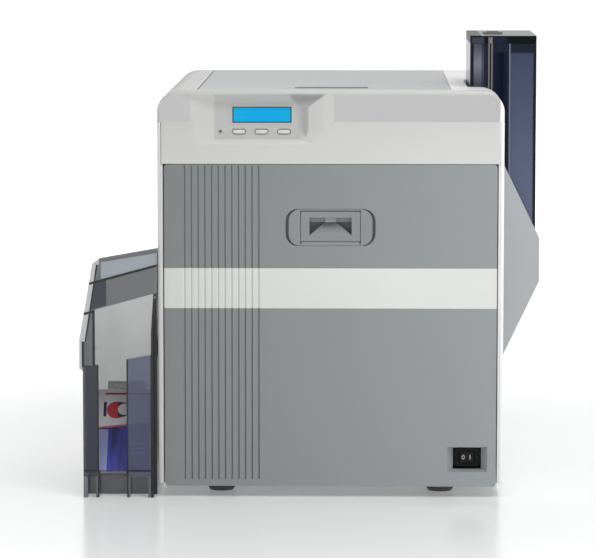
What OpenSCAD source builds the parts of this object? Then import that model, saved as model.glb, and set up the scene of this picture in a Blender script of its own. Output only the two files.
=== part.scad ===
// Retransfer id card printer on a desk: case, hinged door and lid, card hopper,
// card stacker, and the print and transfer mechanism. Millimetres, +Z up, the front
// faces -Y. The drawing frame has x = 0 in the case's middle and y = 0 at its front;
// place() then moves the model so that its box's bottom centre is the origin.

/* [Case] */
// Width of the case
body_w = 308; // [300:1:330]
// Depth of the case
body_d = 354; // [345:1:380]
// Height of the case above its feet
body_h = 356; // [350:1:380]
// Thickness of the moulded walls
wall = 3; // [2.5:0.5:3.5]
// Radius of the two top corners, seen from the front
corner_r = 20; // [12:1:24]
// Height of the rubber feet
foot_h = 9; // [7:1:12]
// Radius of a rubber foot
foot_r = 12; // [8:1:14]
// Distance of a foot's centre from the case's side
foot_inset = 55; // [40:1:70]
// Height of the white front frame above the door
frame_h = 65.5; // [62:0.5:70]
// How far the front frame's upper edge leans forward
frame_lean = 3; // [1:0.5:5]
// Height of the leaning facet of the front frame
facet_h = 28; // [20:1:32]

/* [Door] */
// Gap between the door and the case's side edges
door_gap = 2.3; // [1.5:0.1:3]
// Width of the case's jamb beside the door
jamb_w = 1.9; // [1:0.1:2.2]
// Depth of the door's rim behind its skin
door_rim = 10; // [6:1:11]
// Width of the white band across the door
band_h = 36; // [20:1:50]
// Distance of the band's middle below the door's top
band_drop = 110.5; // [100:0.5:150]
// Number of grooves in the door
groove_n = 12; // [4:1:16]
// Spacing of the grooves
groove_pitch = 6; // [4:0.5:7]
// Distance of the first groove from the door's left edge
groove_x = 18; // [10:1:30]
// Width of a groove
groove_w = 2; // [1:0.25:2.5]
// How far the door opens, in degrees
door_open = 90; // [60:5:90]

/* [Latch] */
// Width of the latch surround
latch_w = 80; // [70:1:90]
// Height of the latch surround
latch_h = 33; // [30:1:38]
// Distance of the latch's middle below the door's top
latch_drop = 56; // [48:1:64]
// Width of the moving latch
paddle_w = 52.6; // [44:0.2:56]
// Width of the finger pocket
pocket_w = 37.5; // [30:0.5:42]
// Height of the finger pocket
pocket_h = 16.5; // [12:0.5:18]

/* [Operator panel] */
// Width of the display window
lcd_w = 52.6; // [40:0.2:56]
// Height of the display window
lcd_h = 14.3; // [10:0.1:16]
// Distance of the display's middle from the case's middle
lcd_x = -61; // [-66:1:-55]
// Width of a menu button
button_w = 11; // [8:0.5:13]
// Height of a menu button
button_h = 3.8; // [3:0.1:4.4]
// Spacing of the menu buttons
button_pitch = 20; // [17:0.5:21]
// Travel of a menu button
button_travel = 0.6; // [0.3:0.1:0.6]

/* [Lid] */
// Distance of the lid's left edge from the case's left side
lid_left = 35.5; // [32:0.5:45]
// Distance of the lid's right edge from the case's right side
lid_right = 47.5; // [44:0.5:55]
// Gap round the lid
lid_gap = 0.6; // [0.4:0.1:1]
// Width of the finger slot in the lid
lid_slot_w = 66; // [50:1:90]
// Depth of the finger slot
lid_slot_d = 27; // [20:1:35]
// Distance of the groove across the lid from the front
lid_groove_y = 145; // [100:1:200]

/* [Cards] */
// Length of a card
card_l = 85.6; // [80:0.1:86]
// Width of a card
card_w = 54; // [50:0.1:54]
// Thickness of a card
card_t = 0.76; // [0.4:0.01:1]
// Distance of the card path below the case's top
path_drop = 165; // [162:1:168]
// Distance of the cards' middle from the case's front
path_y = 107; // [105:1:109]
// Cards left in the hopper
hopper_cards = 24; // [5:1:40]

/* [Hopper] */
// Width of the hopper
hopper_w = 59.6; // [59:0.1:62]
// Depth of the hopper
hopper_d = 125; // [120:1:130]
// Height of the hopper's top above the table
hopper_top = 412; // [400:1:430]
// Distance of the hopper's front from the case's front
hopper_y = 58; // [57:0.5:60]
// Height of the hopper's cap
cap_h = 8; // [6:1:12]
// Thickness of the clear plastic
clear_t = 2; // [1.5:0.25:2.5]

/* [Stacker] */
// Width of the stacker at its foot
stack_w = 63; // [62:1:70]
// Depth of the stacker
stack_d = 158; // [155:1:165]
// How far the stacker stands in front of the case
stack_front = 6; // [0:1:12]
// Height of the hood's left end above the card path
stack_rise = 16; // [12:1:20]
// Slope of the hood's roof towards the back, in degrees
roof_fall = 6.5; // [4:0.5:7]

/* [Hidden] */
$fn = 48;
fit = 0.05;              // radial clearance of a shaft in its bore
snug = 0.02;             // clearance of pieces that are fixed together
play = 0.3;              // clearance of pieces that move past each other
hw = body_w / 2;
top_z = foot_h + body_h;
in_x = hw - wall;        // inner faces of the side covers
door_z0 = foot_h + 1;
door_z1 = top_z - frame_h - 0.5;
door_hw = hw - wall - 0.5 - door_gap;
latch_z = door_z1 - latch_drop;
band_z = door_z1 - band_drop;
path_z = top_z - path_drop;
stack_h = path_z + stack_rise;
frame_z0 = top_z - frame_h;
crease_z = top_z - facet_h;
cap_y = 8;               // where the lid starts behind the front frame
lid_x0 = -hw + lid_left;
lid_x1 = hw - lid_right;
lid_y1 = body_d - 7.5;
rear_y = body_d - wall - 0.5;
face_y = 20;             // front of the inner front frame
hinge_y = 10;
hinge_z = door_z0 + 6;
plate_y = 196;           // mechanism plate
plate_t = 3;
fplate_y = 56;           // front roller plate
fplate_t = 2.5;
pan_y0 = 24;
mech_x0 = -in_x + 5;
bay_x = hw - 30.5;       // inner wall of the hopper bay
mech_x1 = bay_x - 2.5;
hop_x0 = bay_x + 1.5;
hop_x1 = hop_x0 + hopper_w;
gus_x1 = hop_x1 + 0.8 + wall;
tray_z = path_z - card_t / 2 - 0.4;
stk_x1 = -hw - 4;
stk_x0 = stk_x1 - stack_w;
stk_lip = 3;
all_x0 = stk_x0 - stk_lip;
all_x1 = gus_x1;
all_y0 = -stack_front;
all_y1 = body_d;

// ---------------------------------------------------------------- helpers
module place() translate([-(all_x0 + all_x1) / 2, -(all_y0 + all_y1) / 2, 0]) children();
// a box given by its low and high corners
module bx(x0, x1, y0, y1, z0, z1) translate([x0, y0, z0]) cube([x1 - x0, y1 - y0, z1 - z0]);
// a round bar along Y
module rod_y(x, z, y0, y1, r) translate([x, y0, z]) rotate([-90, 0, 0]) cylinder(r = r, h = y1 - y0);
// a round bar along X
module rod_x(y, z, x0, x1, r) translate([x0, y, z]) rotate([0, 90, 0]) cylinder(r = r, h = x1 - x0);
// a front-view (X, Z) profile between two depths
module front_view(y0, y1) translate([0, y1, 0]) rotate([90, 0, 0]) linear_extrude(y1 - y0) children();
// a side-view (Y, Z) profile between two widths
module side_view(x0, x1) translate([x0, 0, 0]) rotate([90, 0, 90]) linear_extrude(x1 - x0) children();
// a rectangle with round corners, centred
module round_rect(w, h, r) {
  square([w - 2 * r, h], center = true);
  square([w, h - 2 * r], center = true);
  for (sx = [-1, 1], sz = [-1, 1]) translate([sx * (w / 2 - r), sz * (h / 2 - r)]) circle(r);
}
// the case seen from the front: flat foot, two round top corners
module case_profile(w, z0, z1, r) {
  translate([-w / 2, z0]) square([w, z1 - r - z0]);
  translate([-w / 2 + r, z0]) square([w - 2 * r, z1 - z0]);
  for (s = [-1, 1]) translate([s * (w / 2 - r), z1 - r]) circle(r);
}
module case_skin() difference() {
  case_profile(body_w, foot_h + 3, top_z, corner_r);
  case_profile(body_w - 2 * wall, foot_h, top_z - wall, corner_r - wall);
}
// a four-sided funnel, wide at depth y0 and narrow at y1
module funnel(x, z, w0, h0, y0, w1, h1, y1) intersection() {
  translate([0, 0, z - h0]) linear_extrude(2 * h0) polygon([
    [x - w0 / 2, y0], [x + w0 / 2, y0], [x + w1 / 2, y1], [x - w1 / 2, y1]]);
  side_view(x - w0, x + w0) polygon([
    [y0, z - h0 / 2], [y0, z + h0 / 2], [y1, z + h1 / 2], [y1, z - h1 / 2]]);
}

// ---------------------------------------------------------------- case
module foot_places() for (x = [-1, 1], y = [face_y + 22, body_d - 40])
  translate([x * (hw - foot_inset), y, 0]) children();

module base_pan() color("silver") difference() {
  union() {
    bx(-in_x + snug, in_x - snug, pan_y0, rear_y - snug, foot_h, foot_h + 2);
    for (s = [-1, 1]) translate([s * (in_x - 1 - snug), 0, 0])
        bx(-1, 1, pan_y0, rear_y - 1, foot_h, foot_h + 20);
    bx(-in_x + 2, in_x - 2, rear_y - 2 - snug, rear_y - snug, foot_h, foot_h + 20);
  }
  foot_places() cylinder(r = 4, h = 30);
  for (i = [0 : 9]) bx(-70 + 14 * i, -64 + 14 * i, 110, 170, 0, 30);
}

module rubber_feet() color("#2b2b2d") foot_places() {
  cylinder(r1 = foot_r - 1.5, r2 = foot_r, h = 2);
  translate([0, 0, 2]) cylinder(r = foot_r, h = foot_h - 2);
  cylinder(r = 4 - snug, h = foot_h + 2);
}

module side_cover(s) difference() {
  union() {
    intersection() {
      front_view(0, rear_y - snug) case_skin();
      if (s < 0) bx(-hw - 1, lid_x0 - lid_gap, -1, body_d, 0, top_z + 1);
      else bx(lid_x1 + lid_gap, hw + 1, -1, body_d, 0, top_z + 1);
    }
    // jamb beside the door
    bx(min(s * (in_x + 0.1), s * (in_x - jamb_w)), max(s * (in_x + 0.1), s * (in_x - jamb_w)),
        1.2, 12.5, foot_h + 3, frame_z0 - 0.3);
    // rail along the lid's edge
    if (s < 0) bx(lid_x0 - lid_gap - 3, lid_x0 - lid_gap, cap_y + 3, rear_y - 1, top_z - 12,
        top_z - wall + 0.01);
    else for (y = [[cap_y + 3, hopper_y - 4], [hopper_y + hopper_d + 5, rear_y - 1]])
      bx(lid_x1 + lid_gap, lid_x1 + lid_gap + 3, y[0], y[1], top_z - 12, top_z - wall + 0.01);
  }
  // the front frame's cap wraps over the shoulders
  bx(-hw - 1, hw + 1, -1, cap_y + 0.3, crease_z - 0.3, top_z + 1);
}

module left_side_cover() color("#d6d7d6") difference() {
  side_cover(-1);
  // the card outlet and the vent slots
  bx(-hw - 1, -in_x + 1, path_y - card_l / 2 - 4, path_y + card_l / 2 + 4, path_z - 8, path_z + 8);
  for (i = [0 : 7]) bx(-hw - 1, -in_x + 1, 230 + 12 * i, 235 + 12 * i, 60, 110);
}

module right_side_cover() color("#d6d7d6") difference() {
  side_cover(1);
  bx(bay_x - 0.5, hw + 1, hopper_y - 1, hopper_y + hopper_d + 1, path_z - 24, top_z + 1);
  for (i = [0 : 7]) bx(in_x - 1, hw + 1, 230 + 12 * i, 235 + 12 * i, 60, 110);
}

fan_x = -hw + 64; fan_z = top_z - 80; fan_w = 60;
inlet_x = 95; inlet_z = 70;
module rear_cover() color("#cfd0cf") difference() {
  union() {
    front_view(rear_y, body_d) case_profile(body_w, foot_h + 3, top_z, corner_r);
  }
  // fan grille: slots across a round field
  intersection() {
    rod_y(fan_x, fan_z, rear_y - 1, body_d + 1, fan_w / 2 - 3);
    for (i = [-5 : 5]) bx(fan_x - 40, fan_x + 40, rear_y - 2, body_d + 2, fan_z + 5 * i - 1.5,
        fan_z + 5 * i + 1.5);
  }
  bx(inlet_x - 14, inlet_x + 14, rear_y - 1, body_d + 1, inlet_z - 10, inlet_z + 10);
  for (i = [0, 1]) bx(20 + 26 * i - 7, 20 + 26 * i + 7, rear_y - 1, body_d + 1, 120 - 6, 120 + 6);
  for (i = [0 : 9]) bx(-60 + 12 * i, -54 + 12 * i, rear_y - 1, body_d + 1, 170, 215);
}

panel_x0 = lcd_x - 42; panel_x1 = lcd_x + 39;
panel_z0 = crease_z - 13; panel_z1 = crease_z + 18;
panel_y = 4.5; panel_back = 9;
lcd_z = crease_z + 6; button_z = crease_z - 9;
button_xs = [for (i = [-1 : 1]) lcd_x - 0.5 + i * button_pitch];
led_x = lcd_x - 37;
facet_x = panel_x1 + 25; // where the pocket's right facet dies out in the front frame
// a side of the pocket: all that lies before a plane through a line at (x, z), with a given slope
module before_plane(x, z, roll, slope) translate([x, 0, z]) rotate([0, roll, 0]) translate([0, 0, -150])
  linear_extrude(300) polygon([[-250, -9], [9 / slope, -9], [-20 / slope, 20], [-250, 20]]);
module panel_pocket() intersection() {
  // floor with its upper and lower sides
  side_view(panel_x0 - 30, facet_x + 10) polygon([[panel_y, panel_z0], [panel_y, panel_z1],
    [-9, panel_z1 + 0.84 * (panel_y + 9)], [-9, panel_z0 - 0.98 * (panel_y + 9)]]);
  // left side
  mirror([1, 0, 0]) translate([0, panel_y, 0]) before_plane(-panel_x0, crease_z, 0, 0.26);
  // dark right side, which leans with the panel's right edge
  translate([0, panel_y, 0]) before_plane(panel_x1, panel_z0 - 0.7, -16, 0.27);
  // light right side, which leans like the facet
  translate([0, 0, crease_z]) rotate([atan(frame_lean / (facet_h - 4)), 0, 0])
      before_plane(facet_x, 0, 0, 0.16);
  // its lower corner
  before_plane(facet_x, crease_z + 1, 44, 0.42);
}
module front_bezel() color("#dcdcda") difference() {
  union() {
    intersection() {
      side_view(-hw - 1, hw + 1) difference() {
        polygon([[0, frame_z0], [0, crease_z], [-frame_lean, top_z - 4], [-frame_lean + 3, top_z],
                 [cap_y, top_z], [cap_y, frame_z0]]);
        polygon([[3, frame_z0 + 3], [3, crease_z + 1], [2, top_z - wall], [cap_y + 1, top_z - wall],
                 [cap_y + 1, frame_z0 + 3]]);
      }
      union() {
        front_view(-10, 20) intersection() {
          case_profile(body_w, foot_h, top_z, corner_r);
          translate([-hw, crease_z]) square([body_w, facet_h]);
        }
        bx(-in_x + 0.4, in_x - 0.4, -10, 20, frame_z0 - 1, crease_z + 1);
      }
    }
    bx(panel_x0 - 18, facet_x, 2, panel_back, frame_z0 + 6, top_z - wall - 1);
    // the cap's ends close the two round shoulders
    intersection() {
      front_view(0, cap_y) case_skin();
      bx(-hw, hw, -1, cap_y, crease_z, top_z);
    }
  }
  panel_pocket();
  bx(lcd_x - lcd_w / 2, lcd_x + lcd_w / 2, 0, 20, lcd_z - lcd_h / 2, lcd_z + lcd_h / 2);
  for (x = button_xs) translate([x, 0, button_z]) front_view(0, 20)
      round_rect(button_w + 0.6, button_h + 0.6, 1.5);
  rod_y(led_x, button_z, 0, 20, 1.5);
}

module inner_front_frame() color("#8f9498") difference() {
  bx(-in_x + snug, in_x - snug, face_y, face_y + 4, foot_h + 15, door_z1 - 2);
  bx(-in_x + 12, in_x - 12, face_y - 1, face_y + 5, foot_h + 55, door_z1 - 14);
  bx(-in_x + 12, switch_x - 26, face_y - 1, face_y + 5, foot_h + 24, foot_h + 56);
  bx(switch_x - switch_w / 2 - snug, switch_x + switch_w / 2 + snug, face_y - 1, face_y + 5,
     switch_z - switch_h / 2 - snug, switch_z + switch_h / 2 + snug);
}

// ---------------------------------------------------------------- door
switch_x = 122.5; switch_z = foot_h + 25.5; switch_w = 21.4; switch_h = 16.2;
bevel_w = 36; bevel_h = 23;
module grooves(z0, z1) for (i = [0 : groove_n - 1]) translate([-door_hw + groove_x + i * groove_pitch,
    0, 0])
  front_view(-1, 0.8) {
    translate([-groove_w / 2, z0 + groove_w / 2]) square([groove_w, z1 - z0 - groove_w]);
    for (z = [z0 + groove_w / 2, z1 - groove_w / 2]) translate([0, z]) circle(groove_w / 2, $fn = 12);
  }

lug_x = hw - 60; lug_w = 10;
module front_door() color("#8c9194") difference() {
  union() {
    difference() {
      front_view(0, 3 + door_rim) translate([0, (door_z0 + door_z1) / 2])
          round_rect(2 * door_hw, door_z1 - door_z0, 3);
      bx(-door_hw + 2.5, door_hw - 2.5, 3, 20, door_z0 + 2.5, door_z1 - 2.5);
      for (s = [-1, 1]) bx(s * lug_x - 12, s * lug_x + 12, 3, 20, door_z0 - 1, door_z0 + 16);
    }
    // stiffening ribs and the latch's frame on the inner side
    for (x = [-75, 75]) bx(x - 1, x + 1, 2.9, 9, door_z0 + 20, door_z1 - 1);
    for (z = [90, 150, 210]) bx(-door_hw + 1, door_hw - 1, 2.9, 7, z - 1, z + 1);
    front_view(2.9, 9) translate([0, latch_z]) round_rect(latch_w + 5, latch_h + 5, 13);
    bx(switch_x - bevel_w / 2 - 2, switch_x + bevel_w / 2 + 2, 2.9, 8, switch_z - bevel_h / 2 - 1,
        switch_z + bevel_h / 2 + 2);
    // hinge lugs
    for (s = [-1, 1]) {
      rod_x(hinge_y, hinge_z, s * lug_x - lug_w / 2, s * lug_x + lug_w / 2, 5);
      bx(s * lug_x - lug_w / 2, s * lug_x + lug_w / 2, 1, hinge_y, hinge_z - 4, hinge_z + 5);
    }
  }
  grooves(door_z0 + 6, door_z1 - 1);
  bx(-door_hw - 1, door_hw + 1, -1, 1.2, band_z - band_h / 2, band_z + band_h / 2);
  front_view(-1, 20) translate([0, latch_z]) round_rect(latch_w + 2 * snug, latch_h + 2 * snug, 11);
  funnel(switch_x, switch_z, bevel_w, bevel_h, -0.01, switch_w + 2.4, switch_h + 2.4, 9);
  for (s = [-1, 1]) rod_x(hinge_y, hinge_z, s * lug_x - 20, s * lug_x + 20, 2.5 + fit);
}

module door_band() color("#e2e3e1") difference() {
  bx(-door_hw, door_hw, 0, 1.2, band_z - band_h / 2 + snug, band_z + band_h / 2 - snug);
  grooves(band_z - band_h, band_z + band_h);
}

module door_hinge_brackets() color("silver") for (s = [-1, 1]) difference() {
  union() {
    for (k = [-1, 1]) translate([s * lug_x + k * (lug_w / 2 + play + 1.5), 0, 0]) {
      rod_x(hinge_y, hinge_z, -1.5, 1.5, 5);
      bx(-1.5, 1.5, hinge_y, pan_y0 + 16, hinge_z - 4.5, hinge_z + 5);
    }
    bx(s * lug_x - lug_w / 2 - play - 3, s * lug_x + lug_w / 2 + play + 3, pan_y0 + 2, pan_y0 + 16,
        foot_h + 2, foot_h + 5);
  }
  rod_x(hinge_y, hinge_z, s * lug_x - 20, s * lug_x + 20, 2.5 + snug);
}

module door_hinge_pins() color("gray") for (s = [-1, 1]) {
  rod_x(hinge_y, hinge_z, s * lug_x - lug_w / 2 - 4, s * lug_x + lug_w / 2 + 4, 2.5);
  rod_x(hinge_y, hinge_z, s * lug_x + lug_w / 2 + 3.5, s * lug_x + lug_w / 2 + 4.5, 3.5);
}

// ---------------------------------------------------------------- latch
lp_y = 7; lp_z = latch_z - latch_h / 2 + 7.5;   // the latch's pivot
module latch_surround() color("#7d8286") difference() {
  union() {
    // the face stops short of the hole's round ends; a tray closes the gap behind
    front_view(0.3, 7) translate([0, latch_z]) round_rect(latch_w - 5.6, latch_h - 0.4, 10);
    front_view(4.8, 7) translate([0, latch_z]) round_rect(latch_w, latch_h, 11);
    for (s = [-1, 1]) translate([s * (paddle_w / 2 + 3), 0, 0])
      bx(-2.5, 2.5, 4, 12, lp_z - 5, lp_z + 5);
  }
  bx(-paddle_w / 2 - 0.5, paddle_w / 2 + 0.5, -1, 13, latch_z - latch_h / 2 + 1.5,
      latch_z + latch_h / 2 - 1.5);
  for (s = [-1, 1]) rod_x(lp_y, lp_z, s * (paddle_w / 2 + 3) - 4, s * (paddle_w / 2 + 3) + 4, 2 + fit);
}

ramp_h = 0.75 * pocket_h; tongue_w = 9.4; pocket_d = 8.3;
module door_latch() color("#878c90") difference() {
  union() {
    bx(-paddle_w / 2, paddle_w / 2, 0.5, 11, lp_z - 3.5, latch_z + latch_h / 2 - 2.8);
    rod_x(lp_y, lp_z, -paddle_w / 2 - 3.5, paddle_w / 2 + 3.5, 2);
    bx(-4, 4, 10, 26, latch_z + 4, latch_z + 8);
    bx(-4, 4, 23, 26, latch_z + 1, latch_z + 8);
  }
  // finger pocket: a ramp that narrows upwards between two deep corners, and a ledge over them
  translate([0, 0, latch_z + 0.5 - pocket_h / 2]) {
    side_view(-pocket_w / 2, pocket_w / 2) polygon([[0, 0], [0.8, 0], [6, ramp_h], [0, ramp_h]]);
    for (s = [-1, 1]) front_view(0, pocket_d) polygon([[s * pocket_w / 2, 0.6],
        [s * pocket_w / 2, ramp_h + 0.01],
      [s * tongue_w / 2, ramp_h + 0.01]]);
    for (s = [-1, 1]) front_view(0, 3.4) polygon([[s * pocket_w / 2, ramp_h],
        [s * pocket_w / 2, pocket_h],
      [s * tongue_w / 2, pocket_h], [s * tongue_w / 2, ramp_h]]);
    bx(-tongue_w / 2 - 0.1, tongue_w / 2 + 0.1, 0, 1.2, ramp_h - 0.01, pocket_h);
  }
}

module latch_strike() color("silver") difference() {
  bx(-14, 14, face_y - 2, face_y, latch_z - 14, door_z1 - 4);
  bx(-7, 7, face_y - 3, face_y + 1, latch_z - 5, latch_z + 19);
}

// ---------------------------------------------------------------- operator panel
module display_window() color("#2aa5dc")
  bx(lcd_x - lcd_w / 2 + snug, lcd_x + lcd_w / 2 - snug, panel_y + 0.8, panel_back,
      lcd_z - lcd_h / 2 + snug, lcd_z + lcd_h / 2 - snug);

module display_module() color("#3c4a3c") {
  bx(lcd_x - lcd_w / 2 - 5, lcd_x + lcd_w / 2 + 5, panel_back, panel_back + 6, lcd_z - lcd_h / 2 - 3,
      lcd_z + lcd_h / 2 + 5);
}

board_y = panel_back + 6;
module panel_board() color("#2f6b3f") {
  bx(panel_x0 - 8, panel_x1 + 8, board_y, board_y + 1.6, frame_z0 + 12, lcd_z + lcd_h / 2 + 6);
  for (x = button_xs) bx(x - 2.5, x + 2.5, panel_back + 2.3, board_y, button_z - 2, button_z + 2);
}

module menu_button(i) color("#e4e4e2") translate([button_xs[i], 0, button_z]) {
  front_view(panel_y - 1.2, panel_back + play + 1) round_rect(button_w, button_h, 1.3);
  front_view(panel_back + play, panel_back + play + 1) square([button_w + 3, button_h + 2.4],
      center = true);
}
module button_left() menu_button(0);
module button_middle() menu_button(1);
module button_right() menu_button(2);

module status_light() color("#3a6ea8") {
  rod_y(led_x, button_z, panel_y + 0.3, board_y, 1.5 - snug);
}

module switch_body() color("#1c1c1e") difference() {
  union() {
    bx(switch_x - switch_w / 2, switch_x + switch_w / 2, face_y - 7, face_y + 18,
        switch_z - switch_h / 2, switch_z + switch_h / 2);
    bx(switch_x - switch_w / 2 - 2, switch_x + switch_w / 2 + 2, face_y - 1.5, face_y,
        switch_z - switch_h / 2 - 2, switch_z + switch_h / 2 + 2);
    for (i = [-1, 1]) bx(switch_x + 5 * i - 0.4, switch_x + 5 * i + 0.4, face_y + 17, face_y + 26,
        switch_z - 2.4, switch_z + 2.4);
  }
  bx(switch_x - 7.2, switch_x + 7.2, face_y - 8, face_y + 6, switch_z - 5.4, switch_z + 5.4);
  translate([switch_x, face_y - 2, switch_z - 7]) cylinder(r = 1.5 + fit, h = 14);
}

// the rocker turns about an upright pin and shows one lower and one higher half
module switch_rocker() color("#232325") {
  translate([switch_x, face_y - 2, switch_z]) {
    translate([0, 0, -5]) linear_extrude(10) polygon([[-6.3, -5.3], [0, -4.2], [6.3, -5.9], [6.3, -2],
        [2, 2.5], [-2, 2.5], [-6.3, -2]]);
    translate([0, 0, -6.9]) cylinder(r = 1.5, h = 13.8);
  }
}

// ---------------------------------------------------------------- lid
lid_hy = body_d - 13; lid_hz = top_z - 7; lid_lug_x = lid_x1 - 21.5;
module top_cover() color("#c4c6c7") difference() {
  union() {
    bx(lid_x0, lid_x1, cap_y + lid_gap, lid_y1, top_z - 3, top_z);
    difference() {
      bx(lid_x0 + 4, lid_x1 - 4, board_y + 5, lid_y1 - 22, top_z - 13, top_z - 2.9);
      bx(lid_x0 + 6.5, lid_x1 - 6.5, board_y + 7.5, lid_y1 - 24.5, top_z - 14, top_z - 3);
    }
    for (y = [120, 220]) bx(lid_x0 + 5, lid_x1 - 5, y - 1, y + 1, top_z - 9, top_z - 2.9);
    for (s = [-1, 1]) {
      rod_x(lid_hy, lid_hz, s * lid_lug_x - 4, s * lid_lug_x + 4, 3.9);
      bx(s * lid_lug_x - 4, s * lid_lug_x + 4, lid_hy - 3.9, lid_hy + 1, lid_hz, top_z - 2.9);
    }
  }
  bx(lid_x0 - 1, lid_x1 + 1, lid_groove_y - 1, lid_groove_y + 1, top_z - 0.9, top_z + 1);
  front_pocket = 30;
  translate([0, front_pocket + lid_slot_d / 2, top_z - 5]) linear_extrude(10)
      round_rect(lid_slot_w, lid_slot_d, 4);
  for (s = [-1, 1]) rod_x(lid_hy, lid_hz, s * lid_lug_x - 10, s * lid_lug_x + 10, 2 + fit);
}

module lid_hinge_brackets() color("silver") for (s = [-1, 1]) difference() {
  union() {
    for (k = [-1, 1]) translate([s * lid_lug_x + k * (4 + play + 1.5), 0, 0]) {
      rod_x(lid_hy, lid_hz, -1.5, 1.5, 3.4);
      bx(-1.5, 1.5, lid_hy - 3.4, lid_hy + 3.3, lid_hz - 14, lid_hz);
    }
    bx(s * lid_lug_x - 7.3, s * lid_lug_x + 7.3, lid_hy - 3.4, rear_y, lid_hz - 22, lid_hz - 12);
  }
  rod_x(lid_hy, lid_hz, s * lid_lug_x - 20, s * lid_lug_x + 20, 2 + snug);
}

module lid_hinge_pins() color("gray") for (s = [-1, 1])
  rod_x(lid_hy, lid_hz, s * lid_lug_x - 9, s * lid_lug_x + 9, 2);

// ---------------------------------------------------------------- hopper side
gus_z = [path_z + 99, path_z + 28.5, path_z - 11, path_z - 84.8];
module gusset_profile(d) polygon([[hw - 1, gus_z[3] + d], [gus_x1 - d, gus_z[2] + d / 2],
    [gus_x1 - d, gus_z[1] + 30],
                                  [hw - 1, gus_z[1] + 95]]);
gus_y0 = hopper_y - 1 - wall; gus_y1 = hopper_y + hopper_d + 1 + wall;
module gusset_housing() color("#b4babd") difference() {
  front_view(gus_y0, gus_y1) intersection() {
    gusset_profile(0);
    polygon([[hw, 0], [hw, gus_z[0]], [gus_x1, gus_z[1]], [gus_x1, 0]]);
  }
  front_view(hopper_y - 1, hopper_y + hopper_d + 1) gusset_profile(wall);
  bx(hw - 10, hop_x1 + 0.8, hopper_y - 1, hopper_y + hopper_d + 1, tray_z, top_z);
}

// the liner between the case and the hopper
module hopper_bay() color("#3f4145") difference() {
  union() {
    bx(bay_x - 2, bay_x - 0.5, hopper_y - 3, hopper_y + hopper_d + 3, tray_z - 20, top_z - 6);
    for (y = [hopper_y - 3, hopper_y + hopper_d + 1]) front_view(y, y + 2) intersection() {
      translate([bay_x - 2, tray_z - 20]) square([hw, top_z]);
      case_profile(2 * in_x - 0.2, foot_h, top_z - wall - 0.1, corner_r - wall);
    }
  }
  bx(bay_x - 5, bay_x + 2, path_y - card_l / 2 - 1, path_y + card_l / 2 + 1, tray_z - 4, tray_z + 6);
}

pick_x = hop_x0 + 20; pick_r = 9;
module pick_tray() color("#4a4c50") difference() {
  union() {
    bx(bay_x - 0.5, hop_x1, hopper_y - 0.5, hopper_y + hopper_d + 0.5, tray_z - 3, tray_z);
    for (y = [path_y - 30, path_y + 27]) bx(pick_x - 8, pick_x + 8, y, y + 3, tray_z - 16, tray_z - 2.9);
  }
  bx(pick_x - pick_r - 1, pick_x + pick_r + 1, path_y - 24, path_y + 24, tray_z - 4, tray_z + 1);
  rod_y(pick_x, tray_z - pick_r + 0.1, path_y - 35, path_y + 35, 3 + fit);
}

module pick_roller() color("#2c2c2e") {
  rod_y(pick_x, tray_z - pick_r + 0.1, path_y - 22, path_y + 22, pick_r);
  rod_y(pick_x, tray_z - pick_r + 0.1, path_y - 33, path_y + 33, 3);
}

hop_z0 = tray_z + 0.3;
cap_z = hopper_top - cap_h;
slot_x0 = hop_x0 + 21; slot_x1 = slot_x0 + 12;       // slot for the card weight's tab
guide = card_l / 2 + 0.6;                            // rails that hold the cards' short ends
cap_hy = hopper_y + hopper_d + 2.3; lug_r = 1.9;
cap_lugs = [hop_x0 + 9, hop_x1 - 9];
lock_x0 = slot_x1 + 3.5; lock_h = 8;
module hopper_body() color("#3c4460", 0.6) difference() {
  union() {
    difference() {
      bx(hop_x0, hop_x1, hopper_y, hopper_y + hopper_d, hop_z0, cap_z - play);
      bx(hop_x0 + clear_t, hop_x1 - clear_t, hopper_y + clear_t, hopper_y + hopper_d - clear_t,
          hop_z0 - 1, cap_z + 1);
    }
    // rails beside the slot, and the channel that closes the space behind the cards
    bx(slot_x0 - 5.5, slot_x0 - 0.7, hopper_y + clear_t - 0.1, path_y - guide, hop_z0, cap_z - play);
    bx(slot_x1 + 0.2, slot_x1 + 3, hopper_y + clear_t - 0.1, path_y - guide, hop_z0, cap_z - play);
    for (x = [slot_x0 - 5.5, slot_x1 + 1]) bx(x, x + clear_t, path_y + guide,
        hopper_y + hopper_d - clear_t + 0.1, hop_z0, cap_z - lock_h - 2);
    bx(slot_x0 - 5.5, slot_x1 + 1 + clear_t, path_y + guide, path_y + guide + clear_t, hop_z0,
        cap_z - lock_h - 2);
    // hinge lugs of the cap
    for (x = cap_lugs, k = [-1, 1]) {
      rod_x(cap_hy, cap_z, x + k * 3.8 - 1.5, x + k * 3.8 + 1.5, lug_r);
      bx(x + k * 3.8 - 1.5, x + k * 3.8 + 1.5, hopper_y + hopper_d - 0.1, cap_hy, cap_z - 4,
          cap_z - play);
    }
  }
  // panes of the front, set back from its frame
  bx(hop_x0 + 2.5, slot_x0 - 8, hopper_y - 1, hopper_y + 0.6, hop_z0 + 8, cap_z - 1);
  bx(slot_x1 + 3.5, hop_x1 - 2.5, hopper_y - 1, hopper_y + 0.6, hop_z0 + 8, cap_z - lock_h - 0.5);
  // gate for the lowest card, and the slot of the card weight
  bx(hop_x0 - 1, hop_x0 + 3, path_y - card_l / 2 - 1, path_y + card_l / 2 + 1, hop_z0 - 1, hop_z0 + 2.2);
  bx(slot_x0, slot_x1, hopper_y - 1, hopper_y + 3, hop_z0 + 30, cap_z - 8);
  for (x = cap_lugs) rod_x(cap_hy, cap_z, x - 6, x + 6, 1 + fit);
}

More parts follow.
